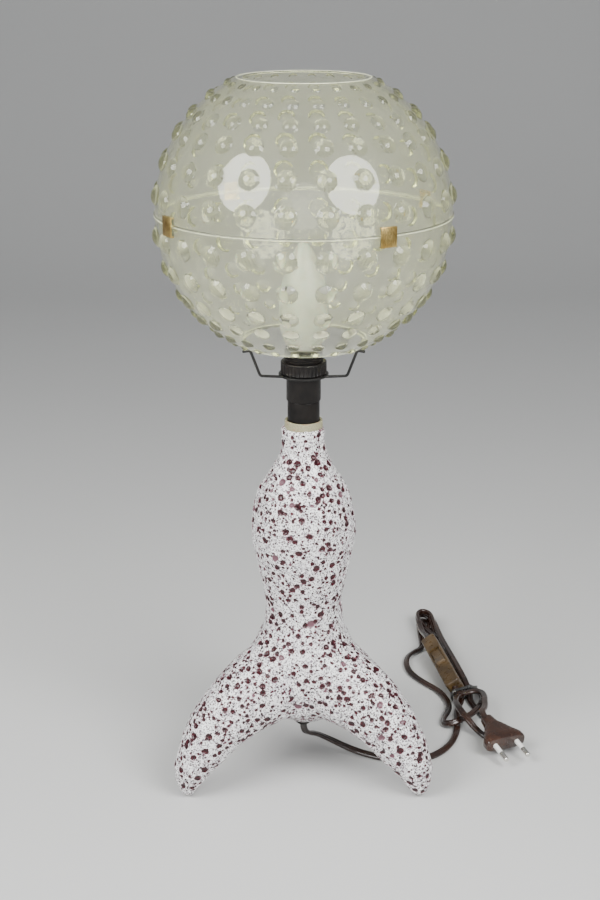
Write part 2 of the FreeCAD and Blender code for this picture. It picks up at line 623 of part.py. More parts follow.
def save_cord():
    """The free cord: lead, slack loops, tied hank and the stretch to the plug."""
    route_tube("cord_lead", LEAD_ROUTE)
    route_tube("cord_side_bow", BOW_ROUTE)
    route_tube("cord_near_loop", LOOP_ROUTE)
    route_tube("cord_tail", TAIL_ROUTE + [tuple(plug_point(-PLUG_L + 1))], plug_body())
    start, along, side = hank_frame()
    outline = Part.BSplineCurve()
    outline.interpolate([start + along * u + side * v for u, v in HANK_OUTLINE], PeriodicFlag=True)
    hank = Part.Face(Part.Wire([outline.toShape()])).extrude(Vector(0, 0, HANK_H))
    case = Part.makeBox(SWITCH_L, SWITCH_W, SWITCH_BASE_H + SWITCH_COVER_H, Vector(0, -SWITCH_W / 2, 0))
    case = case.transformed(switch_frame().toMatrix())
    tie = tie_shape()
    save("cord_tie", tie)
    bundle = hank.cut(case).cut(tie)
    save("cord_hank", max(bundle.Solids, key=lambda piece: piece.Volume))


def rounded_box(length, width, low, high, radius):
    """A box centred across, with round upright corners."""
    box = Part.makeBox(length, width, high - low, Vector(0, -width / 2, low))
    upright = [e for e in box.Edges if abs(e.Vertexes[0].Z - e.Vertexes[1].Z) > (high - low) / 2]
    return box.makeFillet(radius, upright)


def hollow_half(low, high, floor_low, floor_high):
    """One half of the switch's case: a rounded tray."""
    tray = rounded_box(SWITCH_L, SWITCH_W, low, high, SWITCH_CORNER_R)
    inside = rounded_box(SWITCH_L - 2 * SWITCH_WALL, SWITCH_W - 2 * SWITCH_WALL, floor_low, floor_high,
                         SWITCH_CORNER_R - SWITCH_WALL)
    inside.translate(Vector(SWITCH_WALL, 0, 0))
    return tray.cut(inside)


def upright_at(x, radius, low, high):
    """An upright cylinder in the switch, on its middle line."""
    return Part.makeCylinder(radius, high - low, Vector(x, 0, low))


def across_box(length, width, height, x, z):
    """A box in the switch, centred across it, from x on and up from z."""
    return Part.makeBox(length, width, height, Vector(x, -width / 2, z))


def across_rod(radius, length, x, z):
    """A cylinder across the switch, centred on its middle line."""
    return Part.makeCylinder(radius, length, Vector(x, -length / 2, z), Vector(0, 1, 0))


def rocker_shape():
    """The rocker about its pivot: round ends, a dished top, tilted to its near-end-up rest."""
    def on_rim(degrees):
        turn = math.radians(degrees)
        return Vector(ROCKER_REACH * math.cos(turn), -ROCKER_W / 2, ROCKER_REACH * math.sin(turn))
    right = Part.Arc(on_rim(ROCKER_END_BOTTOM), on_rim(0), on_rim(ROCKER_END_TOP)).toShape()
    left = Part.Arc(on_rim(180 - ROCKER_END_TOP), on_rim(180), on_rim(180 - ROCKER_END_BOTTOM)).toShape()
    middle = Vector(0, -ROCKER_W / 2, ROCKER_DISH)
    edges = [right, Part.makeLine(on_rim(ROCKER_END_TOP), middle),
             Part.makeLine(middle, on_rim(180 - ROCKER_END_TOP)), left,
             Part.makeLine(on_rim(180 - ROCKER_END_BOTTOM), on_rim(ROCKER_END_BOTTOM))]
    rocker = Part.Face(Part.Wire(edges)).extrude(Vector(0, ROCKER_W, 0))
    rocker = rocker.cut(across_rod(PIVOT_R + FIT, ROCKER_W, 0, 0))
    rocker.rotate(Vector(0, 0, 0), Vector(0, 1, 0), ROCKER_TILT)
    rocker.translate(Vector(ROCKER_AT, 0, PIVOT_H))
    return rocker


def save_switch():
    """The in-line switch: case base and cover, rocker, pivot, contacts and screws."""
    top = SWITCH_BASE_H + SWITCH_COVER_H
    base = hollow_half(0, SWITCH_BASE_H, SWITCH_WALL, SWITCH_BASE_H)
    cover = hollow_half(SWITCH_BASE_H, top, SWITCH_BASE_H, top - SWITCH_WALL)
    screws = []
    head_low, head_high = SWITCH_SCREW_HEAD
    for x in SWITCH_SCREWS_AT:
        base = base.fuse(upright_at(x, SWITCH_POST_R, SWITCH_POST_SHORT, SWITCH_BASE_H))
        cover = cover.fuse(upright_at(x, SWITCH_POST_R, SWITCH_BASE_H, top - SWITCH_POST_SHORT))
        shank = upright_at(x, SWITCH_SCREW_R, head_high, top - SWITCH_SCREW_SHORT)
        screws.append(upright_at(x, SWITCH_SCREW_HEAD_R, head_low, head_high).fuse(shank))
        base = base.cut(upright_at(x, SWITCH_SCREW_HEAD_R, 0, head_high)).cut(shank)
        cover = cover.cut(shank)
    slot_start = ROCKER_AT - ROCKER_REACH - SLOT_GAP
    slot_length = 2 * (ROCKER_REACH + SLOT_GAP)
    slot = across_box(slot_length, ROCKER_W + 2 * SLOT_GAP, THIN, slot_start, top - SLOT_DEPTH)
    entry = Part.makeCylinder(SWITCH_CORD_R, SWITCH_L, Vector(0, 0, SWITCH_BASE_H), Vector(1, 0, 0))
    entry = entry.cut(across_box(SWITCH_L - 2 * SWITCH_WALL, SWITCH_W, top, SWITCH_WALL, 0))
    pivot = across_rod(PIVOT_R, SWITCH_W - SWITCH_WALL, ROCKER_AT, PIVOT_H)
    length, width, height = CONTACT_PLATE
    contacts = [across_box(length, width, height, x - length / 2, SWITCH_WALL) for x in SWITCH_CONTACTS_AT]
    pieces = {"switch_base": base.cut(entry), "switch_cover": cover.cut(entry).cut(slot).cut(pivot),
              "switch_rocker": rocker_shape(), "switch_pivot": pivot,
              "switch_screws": Part.makeCompound(screws), "switch_contacts": Part.makeCompound(contacts)}
    for name, piece in pieces.items():
        save(name, piece.transformed(switch_frame().toMatrix()))


def save_plug():
    """The flat two-pin plug: moulded body, two pins and their sleeves."""
    place = plug_frame().toMatrix()
    body = plug_body()
    pins = []
    sleeves = []
    for y in (-PIN_PITCH / 2, PIN_PITCH / 2):
        core = rod(PIN_CORE_R, (-PIN_ROOT, y, 0), (SLEEVE_L, y, 0))
        tip = rod(PIN_R, (SLEEVE_L, y, 0), (PIN_L, y, 0))
        nose = [e for e in tip.Edges if e.BoundBox.XMin > PIN_L - FIT]
        pins.append(core.fuse(tip.makeFillet(PIN_NOSE_R, nose)))
        sleeves.append(rod(SLEEVE_R, (0, y, 0), (SLEEVE_L, y, 0)).cut(core))
        body = body.cut(core.transformed(place))
    save("plug_body", body)
    save("plug_pins", Part.makeCompound(pins).transformed(place))
    save("pin_sleeves", Part.makeCompound(sleeves).transformed(place))


os.makedirs("parts", exist_ok=True)
save("ceramic_foot", ceramic_foot())
save_fixings()
save_holder()
save_clamp_ring()
save_carrier()
save_shade()
save_clips()
save_bulb()
save_cord()
save_switch()
save_plug()
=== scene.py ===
from math import acos, asin, copysign, cos, degrees, pi, radians, sin, sqrt
import bmesh
import bpy
import numpy as np
from mathutils import Matrix, Vector, kdtree


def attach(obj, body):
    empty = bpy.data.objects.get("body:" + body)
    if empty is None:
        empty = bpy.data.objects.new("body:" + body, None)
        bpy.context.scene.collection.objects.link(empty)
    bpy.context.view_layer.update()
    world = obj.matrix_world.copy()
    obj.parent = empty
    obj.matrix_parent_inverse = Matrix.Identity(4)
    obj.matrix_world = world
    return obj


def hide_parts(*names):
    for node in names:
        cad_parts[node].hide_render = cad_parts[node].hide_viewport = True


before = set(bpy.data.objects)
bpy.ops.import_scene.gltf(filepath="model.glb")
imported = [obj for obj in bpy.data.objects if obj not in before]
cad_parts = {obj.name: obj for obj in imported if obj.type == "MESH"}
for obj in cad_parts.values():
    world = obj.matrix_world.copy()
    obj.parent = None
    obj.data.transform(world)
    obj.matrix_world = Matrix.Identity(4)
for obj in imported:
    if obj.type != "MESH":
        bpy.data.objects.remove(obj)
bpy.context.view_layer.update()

# Table lamp, in metres, in the CAD model's own frame: +Z up, -Y towards the front.
# Sizes below are in millimetres and are scaled by MM where a mesh is made.

MM = 0.001

# ---- camera and light ----
CAMERA_AT = (-0.0026, -1.1135, 0.6304)
CAMERA_PITCH = 18.56
CAMERA_LENS = 64.57
SOFTBOX_SPOTS = [(-0.68, -0.59, 0.86), (0.57, -0.69, 0.86)]
SOFTBOX_SIZE = 0.72
SOFTBOX_POWER = 17.0
FILL_AT = (0.0, -1.9, 0.9)
FILL_SIZE = 1.2
FILL_POWER = 7.0
WORLD_COLOUR = (0.86, 0.88, 0.91)
WORLD_STRENGTH = 0.42
FLOOR_COLOUR = (0.60, 0.60, 0.59)

# ---- foot ----
BODY_OUTLINE = [(15.6, 274.5), (15.6, 264), (17.2, 255), (25, 241), (33, 225.5), (37.5, 210),
                (38.6, 194), (36, 178), (32.8, 162), (29.6, 146), (28.4, 134), (29.8, 122),
                (34, 112), (38.5, 102), (40.5, 89), (38, 72), (32, 56), (22, 46.5), (12.2, 43.0)]
# Bezier poles of a leg's middle line (distance from the axis, height) and of its half thickness.
# A scratch program fitted these to the photo's outline; report.md says that this breaks a rule.
LEG_LINE = [(17.0, 77.3), (54.6, 81.5), (106.3, 25.9), (98.6, 3.0)]
LEG_RADII = [34.6, 23.3, 21.0, 3.0]
LEG_ANGLES = [90, 210, 330]
LEG_RINGS = 41
LEG_AROUND = 40
COLLAR_R = 13.8
COLLAR_BORE_R = 11.9
COLLAR_BOTTOM = 270.0
COLLAR_TOP = 280.0
FOOT_VOXEL = 1.4
CREASE_PASSES = 90
PIT_COUNT = 2200
PIT_SIZES = (1.2, 3.0)
PIT_SPACING = 1.75
GLAZE_WARP = 0.0012
# scale of the cells, the distances between which a speck fades, and its strength
SPECK_SIZES = [(900.0, 0.27, 0.42, 0.85), (610.0, 0.26, 0.36, 0.92), (430.0, 0.23, 0.30, 1.0),
               (310.0, 0.21, 0.26, 1.0), (225.0, 0.20, 0.24, 1.0)]

# ---- shade ----
SHADE_R = 103.0
SHADE_T = 2.0
SEAM_Z = 430.5
RIM_HEIGHT = 92.05
BUMP_COLUMNS = 24
BUMP_PHASE = 8.5
BUMP_ROWS = [(8, 15, 3.5), (21, 14, 3.4), (33, 13, 3.2), (42, 11, 2.9), (51.5, 8.5, 2.3), (59.5, 6, 1.6)]
CELLS_PER_COLUMN = 26
LIP_R = 103.9                    # the lip at the seam, its height, and half the gap there
LIP_H = 0.8
HALF_GAP = 0.06
LUG_R = 105.0                    # the lugs that the clips hold
LUG_HALF_WIDTH = 4.0
LUG_TOP = 3.2                    # degrees above the seam
INSIDE_ROWS = 30
CLIP_WIDTH = 12.2
CLIP_ANGLES = {"front_right": 31, "back_right": 121, "back_left": 211, "front_left": 301}

# ---- cord ----
CORD_WIDTH = 5.4
CORD_CORE_R = 1.7
HANK_START = (135.0, 114.0)
HANK_END = (111.0, 272.0)

# ---- switch and plug ----
SWITCH_START = Vector((131.6, 110.2, 4.0))
SWITCH_HEADING = Vector((-16.1, 84.0, 4.6))
SWITCH_ROLL = 32
SWITCH_L = 82.0
SWITCH_W = 13.0
BASE_H = 7.0
SWITCH_H = 13.0
SEAM_GAP = 0.05
SWITCH_CORNER_R = 3.0
SLOT_DEPTH = 3.0
ROCKER_AT = 45.0
ROCKER_REACH = 13.4
ROCKER_W = 8.4
ROCKER_TILT = 9.0
ROCKER_DISH = 3.4
ROCKER_ROOM = 0.4
PIVOT_H = 9.0
PLUG_FACE = Vector((158.5, 9.7, 11.4))
PLUG_HEADING = (0.386, -0.9225)
PLUG_DIP = 9.7
PLUG_STATIONS = [(-33.0, 4.2, 3.4), (-32.6, 4.8, 4.2), (-30, 5.1, 4.5), (-27, 5.6, 4.6), (-23.5, 6.6, 4.9),
                 (-20, 8.4, 5.2), (-16, 10.7, 5.5), (-12, 13.0, 5.8), (-9, 15.2, 6.1), (-6, 17.0, 6.2),
                 (-1.2, 17.0, 6.2), (-0.3, 16.6, 5.8), (0, 15.8, 5.0)]
PIN_PITCH = 19.0
PIN_L = 19.0
PIN_R = 2.0
SLEEVE_L = 9.6


# ---- materials ----

def feed(shader, **inputs):
    """Links each named input to a socket, or gives it a value; in0, in1 are inputs by number."""
    for key, value in inputs.items():
        name = key.replace("_", " ")
        by_number = name.startswith("in") and name[2:].isdigit()
        socket = shader.inputs[int(name[2:]) if by_number else name]
        if isinstance(value, bpy.types.NodeSocket):
            shader.id_data.links.new(value, socket)
        else:
            socket.default_value = value


def node(tree, kind, settings=None, **inputs):
    """Adds a shader node with its settings and inputs."""
    made = tree.nodes.new(kind)
    for key, value in (settings or {}).items():
        setattr(made, key, value)
    feed(made, **inputs)
    return made


def start_material(name):
    """A new material with its Principled shader and object coordinates."""
    material = bpy.data.materials.new(name)
    material.use_nodes = True
    tree = material.node_tree
    shader = tree.nodes["Principled BSDF"]
    coords = tree.nodes.new("ShaderNodeTexCoord").outputs["Object"]
    return material, shader, coords


def noise_of(coords, scale, detail=3.0, rough=0.5):
    return node(coords.id_data, "ShaderNodeTexNoise", Vector=coords, Scale=scale, Detail=detail,
                Roughness=rough).outputs["Fac"]


def spread(value, low, high, to_low=0.0, to_high=1.0):
    """Maps a value's range from low..high to to_low..to_high, held at both ends."""
    made = node(value.id_data, "ShaderNodeMapRange", {"interpolation_type": "SMOOTHSTEP"}, Value=value,
                From_Min=low, From_Max=high, To_Min=to_low, To_Max=to_high)
    return made.outputs["Result"]


def blend_colour(share, first, second):
    """Colour between two colours or colour sockets."""
    first, second = [(*c, 1.0) if isinstance(c, tuple) else c for c in (first, second)]
    made = node(share.id_data, "ShaderNodeMix", {"data_type": "RGBA"}, in0=share, in6=first, in7=second)
    return made.outputs[2]


def maths(operation, first, second):
    return node(first.id_data, "ShaderNodeMath", {"operation": operation}, in0=first, in1=second).outputs[0]


def bumped(shader, height, strength, distance):
    bump = node(shader.id_data, "ShaderNodeBump", Height=height, Strength=strength, Distance=distance)
    feed(shader, Normal=bump.outputs["Normal"])


def moulded(name, dark, light, rough, grain=900.0, coat=0.0, streak=60.0, shine=0.5):
    """Moulded plastic: slow colour drift, a fine grain, and gloss that varies a little."""
    material, shader, coords = start_material(name)
    drift = noise_of(coords, streak, 4.0, 0.6)
    fine = noise_of(coords, grain, 3.0)
    colour = blend_colour(spread(drift, 0.32, 0.68), dark, light)
    feed(shader, Base_Color=colour)
    gloss = noise_of(coords, streak * 3, 5.0, 0.7)
    feed(shader, Roughness=spread(gloss, 0.3, 0.7, rough * 0.75, rough * 1.35), Coat_Weight=coat)
    feed(shader, Coat_Roughness=0.12, Specular_IOR_Level=shine)
    bumped(shader, fine, 0.25, 0.00004)
    return material


def metal(name, dark, light, rough, grain=(500.0, 500.0, 60.0), tarnish=90.0):
    """Metal with a drawn grain and patches of tarnish."""
    material, shader, coords = start_material(name)
    feed(shader, Metallic=1.0)
    mapping = node(shader.id_data, "ShaderNodeMapping", Vector=coords, Scale=grain)
    lines = noise_of(mapping.outputs["Vector"], 6.0, 4.0, 0.6)
    patches = noise_of(coords, tarnish, 5.0, 0.65)
    feed(shader, Base_Color=blend_colour(spread(patches, 0.35, 0.66), light, dark))
    feed(shader, Roughness=spread(lines, 0.25, 0.75, rough * 0.7, rough * 1.5))
    bumped(shader, lines, 0.2, 0.00003)
    return material


def glaze_material():
    """White crater glaze: wine-red pits held in the mesh's attributes, and specks of many sizes."""
    material, shader, coords = start_material("crater_glaze")
    tree = shader.id_data
    pit = node(tree, "ShaderNodeAttribute", {"attribute_name": "pit"}).outputs["Fac"]
    tone = node(tree, "ShaderNodeAttribute", {"attribute_name": "tone"}).outputs["Fac"]
    cloud = noise_of(coords, 130.0, 5.0, 0.62)
    fine = noise_of(coords, 640.0, 4.0, 0.6)
    wander = node(tree, "ShaderNodeTexNoise", Vector=coords, Scale=900.0, Detail=2.0).outputs["Color"]
    warp = node(tree, "ShaderNodeVectorMath", {"operation": "MULTIPLY_ADD"}, in0=wander,
                in1=(GLAZE_WARP, GLAZE_WARP, GLAZE_WARP), in2=coords).outputs[0]
    white = blend_colour(spread(cloud, 0.50, 0.72), (0.88, 0.875, 0.87), (0.64, 0.61, 0.64))
    white = blend_colour(spread(fine, 0.56, 0.72, 0.0, 0.55), white, (0.42, 0.38, 0.42))
    colour = white
    heights = []
    for scale, low, high, share in SPECK_SIZES:
        cells = node(tree, "ShaderNodeTexVoronoi", Vector=warp, Scale=scale)
        pick = node(tree, "ShaderNodeSeparateColor", Color=cells.outputs["Color"])
        speck = spread(cells.outputs["Distance"], low, high, share, 0.0)
        tint = blend_colour(pick.outputs[0], (0.014, 0.007, 0.011), (0.060, 0.007, 0.016))
        tint = blend_colour(spread(pick.outputs[1], 0.72, 0.80), tint, (0.22, 0.19, 0.22))
        colour = blend_colour(speck, colour, tint)
        heights.append(speck)
    wine = blend_colour(spread(fine, 0.38, 0.66), (0.014, 0.0004, 0.002), (0.058, 0.0030, 0.0085))
    wine = blend_colour(tone, wine, (0.16, 0.075, 0.095))
    rim = spread(pit, 0.10, 0.42)
    core = spread(pit, 0.42, 0.72)
    stained = maths("MULTIPLY", rim, spread(cloud, 0.4, 0.6, 0.25, 0.7))
    colour = blend_colour(stained, colour, (0.34, 0.15, 0.19))
    colour = blend_colour(core, colour, wine)
    feed(shader, Base_Color=colour, Roughness=spread(fine, 0.3, 0.7, 0.10, 0.26))
    feed(shader, Coat_Weight=0.18, Coat_Roughness=0.06)
    feed(shader, Specular_IOR_Level=0.38)
    lumps = maths("SUBTRACT", fine, maths("MULTIPLY", heights[4], 0.9))
    lumps = maths("SUBTRACT", lumps, maths("MULTIPLY", heights[3], 0.6))
    bumped(shader, lumps, 0.55, 0.0004)
    return material


def clay_material():
    """Bare olive-beige clay with a coarse grain and a few rusty stains."""
    material, shader, coords = start_material("bare_clay")
    grain = noise_of(coords, 1400.0, 4.0, 0.7)
    stain = noise_of(coords, 190.0, 4.0, 0.6)
    colour = blend_colour(spread(grain, 0.3, 0.7), (0.20, 0.19, 0.11), (0.36, 0.34, 0.22))
    colour = blend_colour(spread(stain, 0.60, 0.72, 0.0, 0.8), colour, (0.30, 0.10, 0.05))
    feed(shader, Base_Color=colour, Roughness=spread(grain, 0.3, 0.7, 0.5, 0.8))
    bumped(shader, grain, 0.5, 0.0003)
    return material


def clear_material():
    """Aged clear plastic: slightly olive-yellow in depth, with faint wiping marks."""
    material, shader, coords = start_material("clear_shade")
    haze = noise_of(coords, 45.0, 6.0, 0.65)
    fine = noise_of(coords, 320.0, 3.0, 0.6)
    colour = blend_colour(spread(haze, 0.35, 0.7), (0.976, 0.979, 0.910), (0.956, 0.962, 0.855))
    feed(shader, Base_Color=colour, Roughness=spread(haze, 0.35, 0.75, 0.015, 0.075))
    feed(shader, Transmission_Weight=0.975, IOR=1.46)
    bumped(shader, fine, 0.10, 0.0001)
    tree = shader.id_data
    tint = node(tree, "ShaderNodeVolumeAbsorption", Color=(0.86, 0.88, 0.34, 1.0), Density=60.0)
    feed(tree.nodes["Material Output"], Volume=tint.outputs["Volume"])
    return material


def opal_material():
    """Frosted opal glass, unlit, a little cloudy."""
    material, shader, coords = start_material("frosted_bulb")
    cloud = noise_of(coords, 55.0, 4.0, 0.6)
    fine = noise_of(coords, 1500.0, 2.0)
    feed(shader, Base_Color=blend_colour(spread(cloud, 0.3, 0.7), (0.20, 0.215, 0.17), (0.275, 0.29, 0.235)))
    feed(shader, Roughness=spread(fine, 0.3, 0.7, 0.34, 0.5))
    feed(shader, Subsurface_Weight=0.35, Subsurface_Scale=0.004)
    bumped(shader, fine, 0.15, 0.00005)
    return material


def floor_material():
    material, shader, coords = start_material("studio_floor")
    cloud = noise_of(coords, 3.0, 4.0)
    light = tuple(1.04 * c for c in FLOOR_COLOUR)
    feed(shader, Base_Color=blend_colour(cloud, FLOOR_COLOUR, light), Roughness=0.55)
    return material


GLAZE = glaze_material()
CLAY = clay_material()
CLEAR = clear_material()
OPAL = opal_material()
BAKELITE = moulded("dark_bakelite", (0.003, 0.0026, 0.0024), (0.010, 0.008, 0.007), 0.36, shine=0.22)
WIRE = moulded("black_lacquer", (0.006, 0.006, 0.006), (0.014, 0.013, 0.012), 0.38, grain=1600.0, shine=0.3)
CORD = moulded("brown_cord", (0.010, 0.0042, 0.0027), (0.034, 0.0135, 0.0075), 0.22, grain=700.0, coat=0.45,
               streak=45.0)
SWITCH = moulded("amber_brown_case", (0.050, 0.030, 0.012), (0.105, 0.064, 0.025), 0.30, coat=0.25,
                 streak=70.0)
PLUG = moulded("brown_plug", (0.018, 0.0075, 0.0048), (0.050, 0.020, 0.011), 0.24, coat=0.45)
TIE = moulded("grey_coated_wire", (0.016, 0.016, 0.016), (0.085, 0.085, 0.080), 0.20, coat=0.6)
SLEEVE = moulded("white_sleeves", (0.70, 0.69, 0.65), (0.84, 0.83, 0.79), 0.40)
CLIP = metal("folded_brass", (0.52, 0.33, 0.09), (0.90, 0.66, 0.25), 0.22)
BRASS = metal("plain_brass", (0.50, 0.36, 0.15), (0.78, 0.61, 0.30), 0.30)
STEEL = metal("zinc_steel", (0.40, 0.40, 0.39), (0.66, 0.66, 0.65), 0.34)
DARK_STEEL = metal("blackened_steel", (0.03, 0.028, 0.026), (0.10, 0.095, 0.09), 0.40)
NICKEL = metal("nickel_pins", (0.56, 0.54, 0.50), (0.84, 0.82, 0.77), 0.18)
# pale opaque colour for rings on the shade's seam and rims: a painted highlight, not wear
EDGE_HIGHLIGHT = moulded("edge_highlight_plastic", (0.66, 0.68, 0.48), (0.80, 0.82, 0.64), 0.45)
CERAMIC = moulded("white_insert", (0.66, 0.64, 0.58), (0.82, 0.80, 0.75), 0.55)
CORES = moulded("core_insulation", (0.20, 0.13, 0.07), (0.36, 0.25, 0.15), 0.45)
STEM = moulded("stem_glass", (0.74, 0.77, 0.76), (0.86, 0.89, 0.88), 0.10)
INSULATOR = moulded("black_glass", (0.010, 0.010, 0.013), (0.022, 0.021, 0.026), 0.12)


# ---- mesh helpers ----

def metres(point):
    return tuple(MM * c for c in point)


def added(name, data):
    """A new object with this data, linked to the scene."""
    made = bpy.data.objects.new(name, data)
    bpy.context.scene.collection.objects.link(made)
    return made


def applied(holder):
    """The object's mesh with its modifiers applied."""
    bpy.context.view_layer.update()
    return bpy.data.meshes.new_from_object(holder.evaluated_get(bpy.context.evaluated_depsgraph_get()))


def clean_mesh(name, points, faces, dissolve=True):
    """A mesh from points in millimetres, its double points joined and its normals outwards."""
    mesh = bpy.data.meshes.new(name)
    mesh.from_pydata([metres(p) for p in points], [], faces)
    work = bmesh.new()
    work.from_mesh(mesh)
    bmesh.ops.remove_doubles(work, verts=work.verts, dist=0.002 * MM)
    if dissolve:
        bmesh.ops.dissolve_degenerate(work, edges=work.edges, dist=0.001 * MM)
    bmesh.ops.recalc_face_normals(work, faces=work.faces)
    work.to_mesh(mesh)
    work.free()
    return mesh


def make_piece(name, points, faces, material, body, slot, replaced=(), sharp=38.0):
    """A mesh object from points in millimetres, riding on a body."""
    mesh = clean_mesh(name, points, faces)
    return finish_piece(mesh, name, material, body, replaced, sharp)


def finish_piece(mesh, name, material, body, replaced=(), sharp=38.0):
    mesh.shade_smooth()
    mesh.set_sharp_from_angle(angle=radians(sharp))
    piece = added(name, mesh)
    mesh.materials.clear()
    mesh.materials.append(material)
    if replaced:
        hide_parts(*replaced)
    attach(piece, body)
    return piece


def skin(rings, around, closed=False):
    """Faces between rings of points, capped at both ends unless the last ring joins the first."""
    faces = []
    for i in range(rings if closed else rings - 1):
        here = i * around
        there = (i + 1) % rings * around
        for k in range(around):
            j = (k + 1) % around
            faces.append((here + k, here + j, there + j, there + k))
    if not closed:
        faces.append(tuple(range(around)))
        faces.append(tuple(range((rings - 1) * around, rings * around)))
    return faces


def turned_faces(steps, count, closed):
    """Faces between copies of an outline that are set round the axis."""
    faces = []
    for k in range(steps):
        here = k * count
        there = (k + 1) % steps * count
        for i in range(count if closed else count - 1):
            j = (i + 1) % count
            faces.append((here + i, there + i, there + j, here + j))
    return faces


def lathe(outline, steps=96, closed=False):
    """Points and faces of a turned shape; a closed outline makes a ring."""
    turns = [2 * pi * k / steps for k in range(steps)]
    points = [(r * cos(turn), r * sin(turn), z) for turn in turns for r, z in outline]
    return points, turned_faces(steps, len(outline), closed)


def rounded_outline(corners, radius, steps=4):
    """Closed outline with each corner rounded by about the radius."""
    out = []
    count = len(corners)
    for i in range(count):
        p = Vector(corners[i])
        a = Vector(corners[i - 1]) - p
        b = Vector(corners[(i + 1) % count]) - p
        reach = min(radius, 0.45 * a.length, 0.45 * b.length)
        start = p + a.normalized() * reach
        end = p + b.normalized() * reach
        for s in range(steps + 1):
            t = s / steps
            q = start * (1 - t) ** 2 + p * 2 * t * (1 - t) + end * t * t
            out.append((q.x, q.y))
    return out


def ring_corners(outer, inner, low, high):
    return [(inner, low), (outer, low), (outer, high), (inner, high)]


def smooth_line(points, steps=8):
    """Catmull-Rom curve through the points."""
    vectors = [Vector(p) for p in points]
    vectors = [vectors[0] * 2 - vectors[1]] + vectors + [vectors[-1] * 2 - vectors[-2]]
    out = []
    for a, b, c, d in zip(vectors, vectors[1:], vectors[2:], vectors[3:]):
        for s in range(steps):
            t = s / steps
            out.append(((b * 2) + (c - a) * t + (a * 2 - b * 5 + c * 4 - d) * t * t
                        + (b * 3 - a - c * 3 + d) * t ** 3) * 0.5)
    out.append(vectors[-2])
    return out


def bezier(poles, t):
    a, b, c, d = poles
    s = 1 - t
    return s * s * s * a + 3 * s * s * t * b + 3 * s * t * t * c + t * t * t * d


def tube(path, section, frames):
    """A closed tube: the section's (across, up) points carried along the path."""
    points = [centre + side * x + up * y for centre, (side, up) in zip(path, frames) for x, y in section]
    return points, skin(len(path), len(section))


def carried_frames(path, first_side):
    """A side and up direction at each point, turned as little as possible along the path."""
    frames = []
    side = Vector(first_side)
    for i in range(len(path)):
        ahead = (path[min(i + 1, len(path) - 1)] - path[max(i - 1, 0)]).normalized()
        side = (side - ahead * side.dot(ahead)).normalized()
        frames.append((side, ahead.cross(side)))
    return frames


def circle(radius, steps=12):
    return [(radius * cos(2 * pi * k / steps), radius * sin(2 * pi * k / steps))
            for k in range(steps)]


def place(points, matrix):
    return [matrix @ Vector(p) for p in points]


def about(angle, axis="Z"):
    return Matrix.Rotation(radians(angle), 4, axis)


def merged(*parts):
    """Several (points, faces) lists as one."""
    points = []
    faces = []
    for part_points, part_faces in parts:
        base = len(points)
        points.extend(part_points)
        faces.extend(tuple(base + i for i in face) for face in part_faces)
    return points, faces


def local_matrix(origin, along, across):
    """X along, Y across, Z square to both."""
    x = Vector(along).normalized()
    z = x.cross(Vector(across)).normalized()
    y = z.cross(x)
    return Matrix(((x.x, y.x, z.x, origin[0]), (x.y, y.y, z.y, origin[1]),
                   (x.z, y.z, z.z, origin[2]), (0, 0, 0, 1)))


# ---- camera ----

camera = added("camera", bpy.data.cameras.new("camera"))
camera.location = CAMERA_AT
camera.rotation_euler = (radians(90 - CAMERA_PITCH), 0, 0)
camera.data.sensor_width = 36.0
camera.data.lens = CAMERA_LENS
camera.data.clip_start = 0.01
bpy.context.scene.camera = camera


# ---- cord ----

hank_along = (Vector((*HANK_END, 0)) - Vector((*HANK_START, 0))).normalized()
hank_side = Vector((hank_along.y, -hank_along.x, 0))


def hank(u, v, z, roll=0):
    """A point given along and across the hank."""
    at = Vector((*HANK_START, 0)) + hank_along * u + hank_side * v
    return (at.x, at.y, z, roll)


def entry(point, aside=0.0, back=0.0, lower=CORD_CORE_R):
    """A flat route point at, or set off from, the middle of a cord entry."""
    return (point.x + aside, point.y + back, point.z - lower, 0)


switch_roll = radians(SWITCH_ROLL)
SWITCH_FRAME = local_matrix(SWITCH_START, SWITCH_HEADING, (-cos(switch_roll), 0, -sin(switch_roll)))
switch_far = SWITCH_FRAME @ Vector((SWITCH_L - 1.5, 0, BASE_H))
switch_near = SWITCH_FRAME @ Vector((1.5, 0, BASE_H))
plug_heading = Vector((*PLUG_HEADING, 0)).normalized() * cos(radians(PLUG_DIP))
plug_heading.z = -sin(radians(PLUG_DIP))
PLUG_FRAME = local_matrix(PLUG_FACE, plug_heading, (-plug_heading.y, plug_heading.x, 0))
plug_rear = PLUG_FRAME @ Vector((-31.0, 0, 0))
plug_behind = PLUG_FRAME @ Vector((-42.0, 0, 0))

